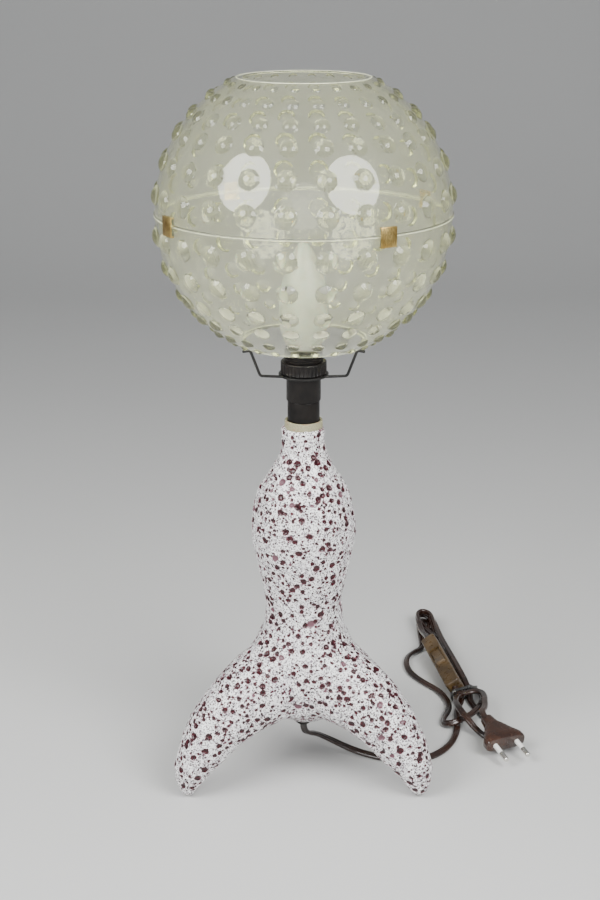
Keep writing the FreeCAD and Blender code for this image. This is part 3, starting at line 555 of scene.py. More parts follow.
# x, y, height of the lowest point and the roll of the flat cord about its line, in degrees
LONG_ROUTE = [
    (0, 0, 34.1, 0), (0, 0, 27.8, 0), (3.5, 5, 21.5, 0), (10, 12.5, 17.1, 10), (22, 16.5, 9.0, 20),
    (36, 14.5, 2.3, 30), (51, 8.0, 0.1, 35), (67, 1.2, 0.1, 30), (84, -0.8, 0.1, 25), (100, 4.5, 0.1, 35),
    (112.5, 17.0, 0.1, 50), (120.5, 33.5, 0.1, 40), (124.8, 52.0, 0.1, 10), (126.2, 71, 0.1, 0),
    (128.2, 87, 0.1, 0), (132.4, 99.6, 0.1, 0),
    hank(2, -1.4, 0.1), hank(25, -1.0, 0.1), hank(50, -1.4, 0.1), hank(75, -2.0, 0.1),
    hank(100, -2.2, 0.1), hank(120, -0.5, 0.1, 20), hank(134, 1.6, 0.1, 70), hank(142, 1.6, 0.1, 90),
    hank(146, -2.6, 0.1, 90), hank(142.5, -7.2, 0.1, 90), hank(134, -8.0, 0.1, 70),
    hank(119, -10.2, 0.1, 10), hank(104, -12.0, 0.1),
    (106.5, 199.5, 0.4, 10), (99, 193, 0.1, 25), (92.5, 183, 0.1, 35), (90.3, 170, 0.1, 35),
    (91.5, 156, 0.1, 25), (96.5, 143.5, 0.1, 15), (104.5, 131.5, 0.1, 10), (112.6, 121.0, 0.1, 10),
    (117.6, 110.5, 0.1, 5), (120.4, 100, 0.1, 0), (121.2, 89, 0.4, 0), (119.0, 78, 0.8, 10),
    (114.6, 66.5, 0.6, 40), (113.8, 56.5, 1.1, 75), (120, 51.8, 3.4, 75), (130.0, 58.0, 5.4, 30),
    (139.0, 67.5, 5.6, 10), (145.6, 79.5, 5.9, 0), (149.4, 93, 4.1, 10), (149.6, 106.0, 1.9, 20),
    (146.6, 117, 1.7, 10),
    hank(10, 5.0, 1.7), hank(25, 4.8, 0.6), hank(50, 5.0, 0.2), hank(75, 3.6, 0.2),
    hank(100, 3.0, 0.8), hank(120, 3.6, 2.0, 20), hank(134, 3.8, 3.6, 70), hank(146, 3.2, 4.2, 90),
    hank(151, -2.4, 4.2, 90), hank(146, -7.8, 4.2, 90), hank(134, -7.2, 4.0, 60),
    hank(118, -4.0, 3.6, 10), hank(100, 1.0, 3.7), hank(75, 3.4, 3.7), hank(50, 4.6, 3.7),
    hank(25, 4.4, 3.7), hank(8, 0.6, 3.9), hank(-6, -3.6, 4.6),
    (131.2, 97.8, 6.2, 0), (128.0, 91.5, 8.2, 0), (126.0, 83.0, 10.0, 10), (124.9, 73.0, 11.7, 20),
    (126.6, 60.0, 13.1, 35), (131.6, 49.2, 10.4, 30), (138.3, 42.4, 4.4, 10), (145.4, 37.8, 0.3, 0),
    (151.5, 31, 0.1, 0), (159, 27.5, 0.1, 0), (166.5, 31, 0.1, 0), (168, 40, 0.1, 0), (162.5, 48.5, 0.1, 0),
    (155.5, 56.5, 0.1, 0), (150.0, 66, 0.1, 0), (146.2, 78, 0.1, 0), (142.0, 89, 0.1, 0), (139.6, 98, 0.6, 0),
    hank(-5, 4.4, 3.2), hank(8, 4.2, 6.2), hank(25, 3.6, 8.0), hank(50, 3.4, 8.2),
    hank(75, 2.8, 8.2), hank(100, 2.8, 8.2), hank(120, 4.0, 8.2, 20), hank(134, 4.6, 8.2, 70),
    hank(144, 3.6, 8.4, 90), hank(149, -2.4, 8.4, 90), hank(143, -8.2, 8.4, 90),
    hank(130, -9.6, 8.0, 50), hank(116, -10.6, 8.0, 10), hank(104, -10.9, 8.4),
    entry(switch_far, -1.6, 9.0, 1.4), entry(switch_far)]
TAIL_ROUTE = [
    entry(switch_near), (128.3, 105.0, 6.0, 0), (131.5, 99.5, 6.8, 0),
    (137.5, 98.2, 8.6, 0), (143.6, 99.6, 9.6, 0), (148.6, 95.2, 10.4, 5), (149.6, 86.0, 11.8, 10),
    (148.6, 74, 13.4, 10), (147.4, 61, 14.4, 5), entry(plug_behind), entry(plug_rear)]


def resting(route):
    """The route with each point's height raised to the cord's middle, for the way it is rolled."""
    half = CORD_WIDTH / 2 - CORD_CORE_R
    return [(x, y, low + CORD_CORE_R + half * abs(sin(radians(roll))), roll)
            for x, y, low, roll in route]


def nurbs_points(points, name):
    """The line of a NURBS spline with these control points, as Blender evaluates it."""
    curve = bpy.data.curves.new(name, "CURVE")
    curve.dimensions = "3D"
    curve.resolution_u = 10
    spline = curve.splines.new("NURBS")
    spline.points.add(len(points) - 1)
    for spot, p in zip(spline.points, points):
        spot.co = (*p, 1.0)
    spline.order_u = 3
    spline.use_endpoint_u = True
    holder = added(name, curve)
    bpy.context.view_layer.update()
    mesh = bpy.data.meshes.new_from_object(holder)
    line = [v.co.copy() for v in mesh.vertices]
    bpy.data.objects.remove(holder)
    bpy.data.meshes.remove(mesh)
    return line


def twin_section():
    """Outline of flat twin flex: two round cores side by side, with a groove where they meet."""
    offset = CORD_WIDTH / 2 - CORD_CORE_R
    open_angle = acos(offset / CORD_CORE_R)
    outline = []
    steps = 11
    for side in (1, -1):
        for s in range(steps):
            turn = -(pi - open_angle) + 2 * (pi - open_angle) * s / (steps - 1)
            x = side * (offset + CORD_CORE_R * cos(turn))
            outline.append((x, side * CORD_CORE_R * sin(turn)))
    return outline


def flat_cord(name, route, first_side):
    """Twin flex along a route, lying flat except where its roll stands it up."""
    line = nurbs_points([p[:3] for p in route], name)
    rolls = nurbs_points([(p[3] * MM, 0, 0) for p in route], name + "_roll")
    moving = [i for i, here in enumerate(line) if i == 0 or (here - line[i - 1]).length > 0.01]
    line = [line[i] for i in moving]
    rolls = [rolls[i] for i in moving]
    frames = []
    side = Vector(first_side)
    for i, here in enumerate(line):
        ahead = (line[min(i + 1, len(line) - 1)] - line[max(i - 1, 0)]).normalized()
        flat = Vector((0, 0, 1)).cross(ahead)
        if flat.dot(side) < 0:
            flat.negate()
        side = side + flat * flat.length * 0.35
        side = (side - ahead * side.dot(ahead)).normalized()
        up = ahead.cross(side)
        roll = radians(rolls[i].x / MM)
        across = side * cos(roll) + up * sin(roll)
        frames.append((across, up * cos(roll) - side * sin(roll)))
    points, faces = tube(line, twin_section(), frames)
    return line, points, faces


def line_length(line):
    return sum((b - a).length for a, b in zip(line, line[1:]))


long_line, long_points, long_faces = flat_cord("long_line", resting(LONG_ROUTE), (1, 0, 0))
long_cord = make_piece("power_cord", long_points, long_faces, CORD, "base", "cord_plastic",
                       ("cord_lead", "cord_near_loop", "cord_side_bow", "cord_hank"), sharp=50)
tail_line, tail_points, tail_faces = flat_cord("tail_line", resting(TAIL_ROUTE), (1, 0, 0))
tail_cord = make_piece("plug_cord", tail_points, tail_faces, CORD, "base", "cord_plastic",
                       ("cord_tail",), sharp=50)
print("cord lengths", line_length(long_line), line_length(tail_line))


# ---- foot ----

def leg_mesh(angle):
    """A leg as an envelope of round sections along its middle line, closed at both ends."""
    shares = [i / (LEG_RINGS - 1) for i in range(LEG_RINGS)]
    outs, ups = zip(*LEG_LINE)
    path = [Vector((bezier(outs, t), 0, bezier(ups, t))) for t in shares]
    radii = [bezier(LEG_RADII, t) for t in shares]
    aside = Vector((0, 1, 0))
    points = []
    for i, (centre, radius) in enumerate(zip(path, radii)):
        before = max(i - 1, 0)
        after = min(i + 1, LEG_RINGS - 1)
        step = path[after] - path[before]
        taper = (radii[after] - radii[before]) / step.length
        ahead = step.normalized()
        middle = centre - ahead * radius * taper
        ring_r = radius * sqrt(max(1 - taper * taper, 0.05))
        up = ahead.cross(aside)
        for k in range(LEG_AROUND):
            turn = 2 * pi * k / LEG_AROUND
            points.append(middle + aside * ring_r * cos(turn) + up * ring_r * sin(turn))
    return place(points, about(angle)), skin(LEG_RINGS, LEG_AROUND)


def foot_union():
    """Body and legs, joined by a voxel remesh."""
    outline = [tuple(p) for p in smooth_line(BODY_OUTLINE, 6)]
    outline = [(0, 274.5), (14.6, 274.5)] + outline[1:] + [(12.2, 47), (0, 47)]
    parts = [lathe(outline, 96)] + [leg_mesh(angle) for angle in LEG_ANGLES]
    points, faces = merged(*parts)
    holder = added("foot_union", clean_mesh("foot_union", points, faces, dissolve=False))
    remesh = holder.modifiers.new("remesh", "REMESH")
    remesh.mode = "VOXEL"
    remesh.voxel_size = FOOT_VOXEL * MM
    remesh.adaptivity = 0.0
    done = applied(holder)
    bpy.data.objects.remove(holder)
    return done


def positions(mesh):
    flat = np.zeros(len(mesh.vertices) * 3)
    mesh.vertices.foreach_get("co", flat)
    return flat.reshape(-1, 3)


def relax(mesh, passes, weights):
    """Moves each point towards the mean of its neighbours, by its weight."""
    edges = np.zeros(len(mesh.edges) * 2, dtype=np.int64)
    mesh.edges.foreach_get("vertices", edges)
    edges = edges.reshape(-1, 2)
    spots = positions(mesh)
    count = len(spots)
    degree = np.bincount(edges.ravel(), minlength=count)[:, None]
    for _ in range(passes):
        total = np.zeros_like(spots)
        for axis in range(3):
            total[:, axis] = (np.bincount(edges[:, 0], spots[edges[:, 1], axis], count)
                              + np.bincount(edges[:, 1], spots[edges[:, 0], axis], count))
        spots += (total / degree - spots) * weights
    mesh.vertices.foreach_set("co", spots.ravel())
    mesh.update()


def ramp(values, low, high):
    t = np.clip((values - low) / (high - low), 0, 1)
    return t * t * (3 - 2 * t)


def subdivided(mesh):
    """The mesh after one level of subdivision."""
    holder = added("subdivide", mesh)
    holder.modifiers.new("smooth", "SUBSURF").levels = 1
    done = applied(holder)
    bpy.data.objects.remove(holder)
    return done


def soft_noise(spots, wavelength, seed):
    """Smooth random field: a sum of a few seeded waves."""
    rng = np.random.default_rng(seed)
    total = np.zeros(len(spots))
    waves = 14
    for _ in range(waves):
        direction = rng.normal(size=3)
        direction /= np.linalg.norm(direction)
        pitch = wavelength * rng.uniform(0.7, 1.5) * MM
        total += np.sin(spots @ direction * 2 * pi / pitch + rng.uniform(0, 2 * pi))
    return total / sqrt(waves / 2)


def carve_pits(mesh):
    """Craters: a sunken floor and a slightly raised rim, with the colour held in attributes."""
    spots = positions(mesh)
    normals = np.zeros(len(mesh.vertices) * 3)
    mesh.vertices.foreach_get("normal", normals)
    normals = normals.reshape(-1, 3)
    tree = kdtree.KDTree(len(spots))
    for i, p in enumerate(spots):
        tree.insert(p, i)
    tree.balance()
    rng = np.random.default_rng(7)
    height = np.zeros(len(spots))
    pit = np.zeros(len(spots))
    tone = np.zeros(len(spots))
    taken = np.zeros(len(spots), bool)
    made = 0
    for i in rng.permutation(len(spots)):
        if made == PIT_COUNT:
            break
        radius = PIT_SIZES[0] + (PIT_SIZES[1] - PIT_SIZES[0]) * rng.random() ** 2.0
        grey = rng.random()
        wave = rng.uniform(0, 2 * pi, 3)
        squeeze = rng.uniform(0.82, 1.0)
        if taken[i]:
            continue
        near = np.array([j for _, j, _ in tree.find_range(spots[i], radius * 2.0 * MM)])
        offset = (spots[near] - spots[i]) / MM
        normal = normals[i]
        first = np.cross(normal, [0.3, 0.2, 1.0])
        first /= np.linalg.norm(first)
        second = np.cross(normal, first)
        x = offset @ first
        y = offset @ second / squeeze
        around = np.arctan2(y, x)
        edge = radius * (1 + 0.08 * np.sin(2 * around + wave[0]) + 0.05 * np.sin(3 * around + wave[1])
                         + 0.04 * np.sin(5 * around + wave[2]))
        reach = np.hypot(x, y) / edge
        depth = 0.22 + 0.26 * radius
        shape = -depth * (1 - ramp(reach, 0.45, 1.0)) + 0.16 * np.exp(-((reach - 1.15) / 0.22) ** 2)
        height[near] += shape
        inside = 1 - ramp(reach, 0.72, 1.12)
        stronger = inside > pit[near]
        tone[near[stronger]] = 0.8 if grey > 0.93 else 0.0
        pit[near] = np.maximum(pit[near], inside)
        taken[near[reach < PIT_SPACING]] = True
        made += 1
    height += 0.30 * soft_noise(spots, 22.0, 3) + 0.13 * soft_noise(spots, 7.0, 4)
    low = ramp(spots[:, 2] / MM, 1.5, 6.0)
    spots += normals * (height * low * MM)[:, None]
    spots[:, 2] = np.maximum(spots[:, 2], 0.0)
    mesh.vertices.foreach_set("co", spots.ravel())
    for name, values in (("pit", pit), ("tone", tone)):
        mesh.attributes.new(name, "FLOAT", "POINT").data.foreach_set("value", values.astype(np.float32))
    mesh.update()


def build_foot():
    mesh = foot_union()
    spots = positions(mesh) / MM
    out = np.hypot(spots[:, 0], spots[:, 1])
    crease = ramp(spots[:, 2], 40, 56) * (1 - ramp(spots[:, 2], 112, 140)) * (1 - ramp(out, 66, 84))
    relax(mesh, CREASE_PASSES, (0.6 * crease)[:, None])
    relax(mesh, 4, np.full((len(spots), 1), 0.5) * ramp(out, 14.0, 18.0)[:, None])
    mesh = subdivided(mesh)
    carve_pits(mesh)
    mesh.name = "glazed_foot"
    print("foot faces", len(mesh.polygons))
    finish_piece(mesh, "glazed_foot", GLAZE, "base", ("ceramic_foot",), sharp=60)
    collar = rounded_outline(ring_corners(COLLAR_R, COLLAR_BORE_R, COLLAR_BOTTOM, COLLAR_TOP), 0.5)
    make_piece("foot_collar", *lathe(collar, 96, True), CLAY, "base", "glaze")


build_foot()


# ---- shade, clips, bulb ----

def bump_height(azimuth, latitude):
    """Height of the lens bumps over the globe, and points snapped on to their outlines."""
    height = np.zeros_like(azimuth)
    pitch = 360 / BUMP_COLUMNS
    for row, width, tall in BUMP_ROWS:
        ball = (width * width / 4 + tall * tall) / (2 * tall)
        centre = BUMP_PHASE + pitch * np.round((azimuth - BUMP_PHASE) / pitch)
        across = np.radians(azimuth - centre) * SHADE_R * cos(radians(row))
        along = np.radians(latitude - row) * SHADE_R
        reach = np.hypot(across, along)
        edge = width / 2
        cell = 2 * pi * SHADE_R / (BUMP_COLUMNS * CELLS_PER_COLUMN) * cos(radians(row))
        snap = (np.abs(reach - edge) < 0.55 * cell) & (reach > 0)
        factor = np.where(snap, edge / np.maximum(reach, 1e-6), 1.0)
        azimuth = np.where(snap, centre + (azimuth - centre) * factor, azimuth)
        latitude = np.where(snap, row + (latitude - row) * factor, latitude)
        reach = np.where(snap, edge, reach)
        cap = np.sqrt(np.maximum(ball * ball - reach * reach, 0)) - (ball - tall)
        height = np.maximum(height, np.where(reach < edge, np.maximum(cap, 0), 0))
    return height, azimuth, latitude


def half_shade(name, side, replaced):
    """One half globe: bumps outside, smooth inside, a lip and lugs at the seam."""
    columns = BUMP_COLUMNS * CELLS_PER_COLUMN
    top = degrees(asin(RIM_HEIGHT / SHADE_R))
    inner_r = SHADE_R - SHADE_T
    inner_top = degrees(asin(RIM_HEIGHT / inner_r))
    angles = np.arange(columns) * 360 / columns
    rows = []
    step = 360 / columns
    latitudes = np.append(np.arange(0.75, top - step / 2, step), top)
    for latitude in latitudes:
        height, azimuth, moved = bump_height(angles, np.full(columns, latitude))
        if latitude in (latitudes[0], latitudes[-1]):
            height = np.zeros(columns)
            azimuth = angles
            moved = np.full(columns, latitude)
        radius = SHADE_R + height
        if latitude < LUG_TOP:
            for clip in CLIP_ANGLES.values():
                away = np.radians((angles - clip + 180) % 360 - 180) * SHADE_R
                radius = np.where(np.abs(away) < LUG_HALF_WIDTH, LUG_R, radius)
        rows.append((radius * np.cos(np.radians(moved)), radius * np.sin(np.radians(moved)), azimuth))
    flat = np.ones(columns)
    rows.insert(0, (flat * LIP_R, flat * LIP_H, angles))
    rows.insert(0, (flat * LIP_R, flat * HALF_GAP, angles))
    for latitude in np.linspace(inner_top, 0.05, INSIDE_ROWS):
        turn = radians(latitude)
        rows.append((flat * inner_r * cos(turn), flat * inner_r * sin(turn), angles))
    points = []
    for out, up, azimuth in rows:
        turn = np.radians(azimuth)
        points.extend(zip(out * np.sin(turn), -out * np.cos(turn), SEAM_Z + side * up))
    faces = skin(len(rows), columns, closed=True)
    shade = make_piece(name, points, faces, CLEAR, "shade", "shade_plastic", (replaced,), sharp=28)
    shade.visible_shadow = False


half_shade("upper_shade", 1, "shade_upper")
half_shade("lower_shade", -1, "shade_lower")


def build_worn_edges():
    """Thin pale rings along the seam and the two rims: painted highlights where light catches these edges."""
    rim_r = sqrt(SHADE_R ** 2 - RIM_HEIGHT ** 2) - 0.4
    rings = []
    for edge_r, edge_z, thick in ((103.75, SEAM_Z, 0.18), (rim_r, SEAM_Z + RIM_HEIGHT - 0.3, 0.42),
                                  (rim_r, SEAM_Z - RIM_HEIGHT + 0.3, 0.42)):
        rings.append(lathe([(edge_r + x, edge_z + y) for x, y in circle(thick, 8)], 192, True))
    make_piece("worn_edges", *merged(*rings), EDGE_HIGHLIGHT, "shade", "shade_plastic")


build_worn_edges()


def box_mesh(low, high, edge):
    """A box with rounded edges, as points and faces."""
    work = bmesh.new()
    bmesh.ops.create_cube(work, size=1.0)
    size = Vector(high) - Vector(low)
    middle = (Vector(high) + Vector(low)) / 2
    for v in work.verts:
        v.co = Vector((v.co.x * size.x, v.co.y * size.y, v.co.z * size.z)) + middle
    bmesh.ops.bevel(work, geom=work.edges[:], offset=edge, segments=2, profile=0.5, affect="EDGES")
    points = [v.co.copy() for v in work.verts]
    faces = [tuple(v.index for v in f.verts) for f in work.faces]
    work.free()
    return points, faces


def extruded(outline, low, high, edge):
    """An outline in the XZ plane pulled along Y, its edges rounded."""
    work = bmesh.new()
    loop = [work.verts.new((x, low, z)) for x, z in outline]
    face = work.faces.new(loop)
    pulled = bmesh.ops.extrude_face_region(work, geom=[face])["geom"]
    for v in pulled:
        if isinstance(v, bmesh.types.BMVert):
            v.co.y = high
    bmesh.ops.recalc_face_normals(work, faces=work.faces)
    sharp = [e for e in work.edges if len(e.link_faces) == 2 and e.calc_face_angle() > radians(40)]
    bmesh.ops.bevel(work, geom=sharp, offset=edge, segments=3, profile=0.5, affect="EDGES")
    points = [v.co.copy() for v in work.verts]
    work.verts.index_update()
    faces = [tuple(v.index for v in f.verts) for f in work.faces]
    work.free()
    return points, faces


def clip_outline():
    """Side view of the folded strip: a plate with a lip over the lugs at each end."""
    outer = 106.1
    inner = 105.3
    root = 103.5
    tall = 6.7
    return [(outer, -tall), (outer, tall), (root, tall), (root, tall - 0.8), (inner, tall - 0.8),
            (inner, -tall + 0.8), (root, -tall + 0.8), (root, -tall)]


def build_clips():
    for side, angle in CLIP_ANGLES.items():
        name = "clip_" + side
        at_seam = Matrix.Translation((0, 0, SEAM_Z)) @ about(angle - 90)
        points, faces = extruded(clip_outline(), -CLIP_WIDTH / 2, CLIP_WIDTH / 2, 0.22)
        make_piece(name, place(points, at_seam), faces, CLIP, name, "clip_brass", ("shade_" + name,))


build_clips()

GLASS_OUTLINE = [(6.4, 321.5), (7.2, 326.5), (10.6, 332.2), (14.0, 338.5), (17.0, 349), (17.5, 358),
                 (16.9, 371), (14.9, 383), (11.3, 394.5), (6.9, 403), (3.2, 408.4), (0, 410.4)]


def build_bulb():
    outer = [tuple(p) for p in smooth_line(GLASS_OUTLINE, 8)]
    inner = [(max(r - 0.9, 0), z - (0.9 if i > len(outer) - 9 else 0)) for i, (r, z) in enumerate(outer)]
    outline = [(max(r, 0), z) for r, z in outer] + inner[::-1]
    points, faces = lathe(outline, 96, True)
    make_piece("bulb_candle", points, faces, OPAL, "bulb", "opal_glass", ("bulb_glass",), sharp=50)


build_bulb()


# ---- holder, clamp ring, carrier ----

THREAD_BOTTOM = 315.4
THREAD_PITCH = 2.0
THREAD_TURNS = 8.5


def holder_thread():
    """The raised thread on the holder's skirt, fading in and out at its ends."""
    steps = 96
    count = int(steps * THREAD_TURNS)
    fade = 20
    points = []
    for k in range(count + 1):
        turn = 2 * pi * k / steps
        z = THREAD_BOTTOM + THREAD_PITCH * k / steps
        grow = min(1.0, k / fade, (count - k) / fade)
        for r, dz in ((12.9, -0.95), (13.1 + 0.85 * grow, -0.25), (13.1 + 0.85 * grow, 0.25), (12.9, 0.95)):
            points.append((r * cos(turn), r * sin(turn), z + dz * 0.98))
    return points, skin(count + 1, 4)


def build_holder():
    cap = rounded_outline([(5.1, 270), (11.6, 270), (11.6, 294.8), (9.7, 294.8), (9.7, 276), (5.1, 276)], 0.6)
    make_piece("holder_lower", *lathe(cap, 96, True), BAKELITE, "base", "bakelite", ("holder_cap",))
    body = rounded_outline([(9.6, 295.1), (12.4, 295.1), (12.4, 312), (15.0, 312), (15.0, 313.2),
                            (13.2, 313.2), (13.2, 333), (12.2, 333), (12.2, 320), (9.6, 320)], 0.5)
    make_piece("holder_upper", *merged(lathe(body, 96, True), holder_thread()), BAKELITE, "base",
               "bakelite", ("holder_body",))


build_holder()


def build_clamp_ring():
    """A ring whose outside carries fine upright ribs between two plain bands."""
    ribs = 36
    steps = ribs * 8
    low = 315.2
    high = 324.0
    levels = [(0.5, 0.0, 0), (0.0, 0.5, 0), (0.0, 0.9, 0), (0.55, 1.3, 1), (0.55, 7.5, 1), (0.0, 7.9, 0),
              (0.0, 8.3, 0), (0.5, 8.8, 0)]
    points = []
    for k in range(steps):
        turn = 2 * pi * k / steps
        groove = 0.5 - 0.5 * cos(2 * pi * k / 8)
        for dip, up, ribbed in levels:
            r = 16.5 - (dip * groove if ribbed else dip)
            points.append((r * cos(turn), r * sin(turn), low + up))
        for r, z in ((14.05, high), (14.05, low)):
            points.append((r * cos(turn), r * sin(turn), z))
    faces = turned_faces(steps, len(levels) + 2, True)
    make_piece("ribbed_ring", points, faces, BAKELITE, "clamp_ring", "bakelite", ("clamp_ring",), sharp=45)


build_clamp_ring()

ARM_LINE = [(16.2, 314.2), (35.4, 317.6), (43.2, 337.1), (49.0, 337.1)]
ARM_ANGLES = {"left": 210, "right": 330, "back": 90}
ARM_BEND = 2.0
ARM_R = 1.0


def arm_route():
    """The middle line of a wire arm, in the XZ plane, its two bends rounded."""
    stops = [Vector((r, 0, z)) for r, z in ARM_LINE]
    route = [stops[0]]
    for before, here, after in zip(stops, stops[1:], stops[2:]):
        start = here + (before - here).normalized() * ARM_BEND
        end = here + (after - here).normalized() * ARM_BEND
        for s in range(7):
            t = s / 6
            route.append(start * (1 - t) ** 2 + here * 2 * t * (1 - t) + end * t * t)
    return route + [stops[-1]]


def build_carrier():
    for side, angle in ARM_ANGLES.items():
        route = place(arm_route(), about(angle))
        frames = carried_frames(route, about(angle) @ Vector((0, 1, 0)))
        points, faces = tube(route, circle(ARM_R, 16), frames)
        make_piece("arm_" + side, points, faces, WIRE, "carrier", "black_wire", ("carrier_arm_" + side,))
    disc = rounded_outline(ring_corners(18.0, 14.3, 313.5, 314.9), 0.3)
    make_piece("carrier_disc", *lathe(disc, 96, True), WIRE, "carrier", "black_wire", ("carrier_ring",))


build_carrier()


# ---- switch and plug ----

def switch_half(name, low, high, low_edge, top_edge, replaced):
    """One half of the switch's case."""
    points, faces = rounded_slab(SWITCH_L, SWITCH_W, low, high, SWITCH_CORNER_R, low_edge, top_edge)
    return make_piece(name, place(points, SWITCH_FRAME), faces, SWITCH, "base", "switch_plastic", (replaced,))


def build_switch():
    """Both halves of the case, and the rocker's slot in the upper one."""
    switch_half("switch_lower", 0.0, BASE_H - SEAM_GAP, 0.9, 0.25, "switch_base")
    cover = switch_half("switch_upper", BASE_H + SEAM_GAP, SWITCH_H, 0.25, 1.1, "switch_cover")
    reach = ROCKER_REACH + ROCKER_ROOM
    half = ROCKER_W / 2 + ROCKER_ROOM
    cut_box(cover, (ROCKER_AT - reach, -half, SWITCH_H - SLOT_DEPTH),
            (ROCKER_AT + reach, half, SWITCH_H + 1.0))


def rounded_slab(length, width, low, high, corner, low_edge, top_edge):
    """A slab with round upright corners; its bottom and top edges have their own small radii."""
    plan = []
    for cx, cy, start in ((length - corner, width / 2 - corner, 0), (corner, width / 2 - corner, 90),
                          (corner, -width / 2 + corner, 180), (length - corner, -width / 2 + corner, 270)):
        for s in range(7):
            turn = radians(start + 90 * s / 6)
            plan.append((cx, cy, cos(turn), sin(turn)))
    quarter = [radians(90 * s / 4) for s in range(5)]
    levels = [(low + low_edge * (1 - sin(t)), low_edge * (1 - cos(t))) for t in quarter[::-1]]
    levels += [(high - top_edge * (1 - sin(t)), top_edge * (1 - cos(t))) for t in quarter]
    points = [(cx + nx * (corner - inset), cy + ny * (corner - inset), z)
              for z, inset in levels for cx, cy, nx, ny in plan]
    return points, skin(len(levels), len(plan))


def cut_box(target, low, high):
    """Cuts a box, given in the switch's own frame, out of a piece."""
    points, faces = box_mesh(low, high, 0.3)
    mesh = bpy.data.meshes.new("cutter")
    mesh.from_pydata([metres(p) for p in place(points, SWITCH_FRAME)], [], faces)
    cutter = added("cutter", mesh)
    cut = target.modifiers.new("cut", "BOOLEAN")
    cut.operation = "DIFFERENCE"
    cut.object = cutter
    cut.solver = "EXACT"
    done = applied(target)
    target.modifiers.clear()
    target.data = done
    bpy.data.objects.remove(cutter)
    done.shade_smooth()
    done.set_sharp_from_angle(angle=radians(38))


build_switch()


def build_rocker():
    """The rocker about its pivot: round ends and a dished top, near end up."""
    reach = ROCKER_REACH
    end = radians(20)
    outline = [(reach * cos(radians(a)), reach * sin(radians(a))) for a in range(-10, 21, 5)]
    for share in (0.75, 0.5, 0.25, 0.0, -0.25, -0.5, -0.75):
        z = ROCKER_DISH + (reach * sin(end) - ROCKER_DISH) * abs(share) ** 1.6
        outline.append((reach * cos(end) * share, z))
    outline += [(reach * cos(radians(a)), reach * sin(radians(a))) for a in range(160, 191, 5)]
    tilt = Matrix.Translation((ROCKER_AT, 0, PIVOT_H)) @ about(ROCKER_TILT, "Y")
    points, faces = extruded(outline, -ROCKER_W / 2, ROCKER_W / 2, 0.45)
    make_piece("rocker", place(points, SWITCH_FRAME @ tilt), faces, SWITCH, "rocker", "switch_plastic",
               ("switch_rocker",))


build_rocker()


def build_plug():
    """Flat two-pin plug: a waisted moulding, with its two pins and their sleeves."""
    steps = 48
    points = []
    for x, half_w, half_h in PLUG_STATIONS:
        power = 0.55 if x > -22 else 0.75
        for k in range(steps):
            turn = 2 * pi * k / steps
            c = cos(turn)
            s = sin(turn)
            points.append((x, half_w * copysign(abs(c) ** power, c),
                           half_h * copysign(abs(s) ** power, s)))
    faces = skin(len(PLUG_STATIONS), steps)
    body = make_piece("plug", place(points, PLUG_FRAME), faces, PLUG, "base", "plug_plastic", ("plug_body",))
    pins = []
    sleeves = []
    for y in (-PIN_PITCH / 2, PIN_PITCH / 2):
        pin = [(0, -8), (1.5, -8), (1.5, SLEEVE_L + 0.3), (PIN_R, SLEEVE_L + 0.3), (PIN_R, PIN_L - 1.4),
               (PIN_R - 0.2, PIN_L - 0.6), (PIN_R - 0.8, PIN_L - 0.1), (0, PIN_L)]
        sleeve = [(1.55, 0), (PIN_R, 0), (PIN_R, SLEEVE_L), (1.55, SLEEVE_L + 0.2)]
        lay = Matrix.Translation((0, y, 0)) @ about(90, "Y")
        pin_points, pin_faces = lathe(pin, 32)
        pins.append((place(pin_points, PLUG_FRAME @ lay), pin_faces))
        sleeve_points, sleeve_faces = lathe(sleeve, 32, True)
        sleeves.append((place(sleeve_points, PLUG_FRAME @ lay), sleeve_faces))
    pin_piece = make_piece("plug_pin_pair", *merged(*pins), NICKEL, "base", "pin_metal", ("plug_pins",))
    sleeve_piece = make_piece("plug_sleeves", *merged(*sleeves), SLEEVE, "base", "sleeve_plastic",
                              ("pin_sleeves",))
    return [body, pin_piece, sleeve_piece]


plug_pieces = build_plug()


# ---- carried-over CAD nodes ----

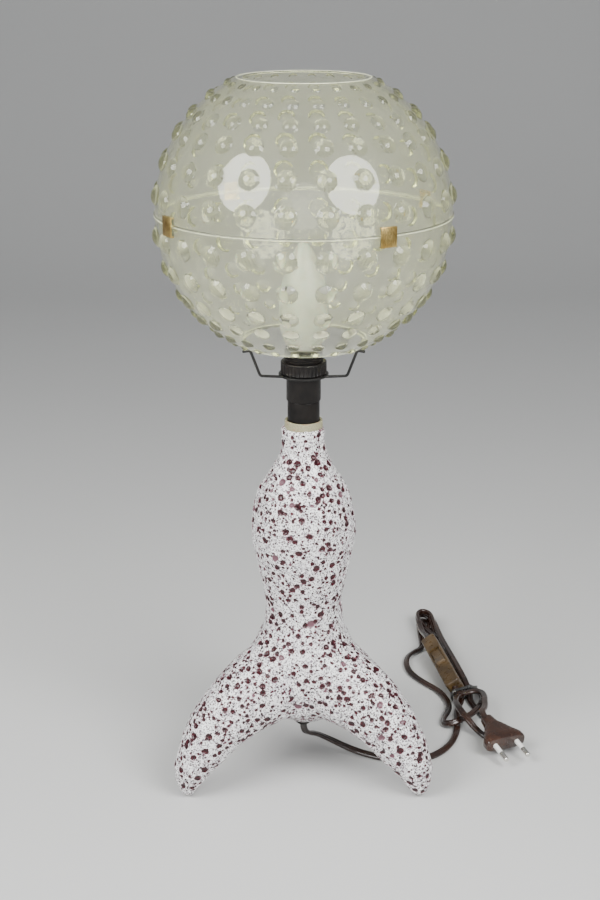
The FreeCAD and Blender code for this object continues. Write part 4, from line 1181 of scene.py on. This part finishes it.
CAD_LOOKS = {
    "threaded_tube": DARK_STEEL, "foot_washer": DARK_STEEL, "foot_nut": DARK_STEEL, "neck_washer": BAKELITE,
    "cord_bush": BAKELITE, "cord_in_tube": CORD, "cap_grub_screw": STEEL, "contact_insert": CERAMIC,
    "terminal_screws": BRASS, "cord_cores": CORES, "screw_shell": BRASS, "centre_contact": BRASS,
    "bulb_cap": STEEL, "bulb_insulator": INSULATOR, "bulb_contact": STEEL, "bulb_stem": STEM,
    "bulb_filament": STEEL, "cord_tie": TIE, "switch_pivot": STEEL, "switch_screws": STEEL,
    "switch_contacts": BRASS}
for node_name, look in CAD_LOOKS.items():
    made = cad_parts[node_name]
    made.data.materials.clear()
    made.data.materials.append(look)


# ---- studio ----

def build_studio():
    """A pale floor that turns up into a backdrop."""
    half = 4.0
    outline = [(-3.5, 0.0)] + [(1.6 + 1.2 * sin(radians(a)), 1.2 - 1.2 * cos(radians(a)))
                               for a in range(0, 91, 6)] + [(2.8, 4.5)]
    points = []
    faces = []
    for y, z in outline:
        points.append((-half, y, z))
        points.append((half, y, z))
    for i in range(len(outline) - 1):
        faces.append((2 * i, 2 * i + 1, 2 * i + 3, 2 * i + 2))
    mesh = bpy.data.meshes.new("studio_floor")
    mesh.from_pydata(points, [], faces)
    mesh.shade_smooth()
    mesh.materials.append(floor_material())
    added("studio_floor", mesh)


def softbox(name, at, target, size, power):
    light = bpy.data.lights.new(name, "AREA")
    light.shape = "DISK"
    light.size = size
    light.energy = power
    lamp = added(name, light)
    lamp.location = at
    lamp.rotation_euler = (Vector(target) - Vector(at)).to_track_quat("-Z", "Y").to_euler()


def light_studio():
    """Two softboxes, a weak fill light and a pale sky."""
    for spot in SOFTBOX_SPOTS:
        softbox("softbox", spot, (0, 0, 0.33), SOFTBOX_SIZE, SOFTBOX_POWER)
    softbox("fill", FILL_AT, (0, 0, 0.25), FILL_SIZE, FILL_POWER)
    world = bpy.data.worlds.new("studio_air")
    world.use_nodes = True
    feed(world.node_tree.nodes["Background"], Color=(*WORLD_COLOUR, 1.0), Strength=WORLD_STRENGTH)
    bpy.context.scene.world = world


build_studio()
light_studio()
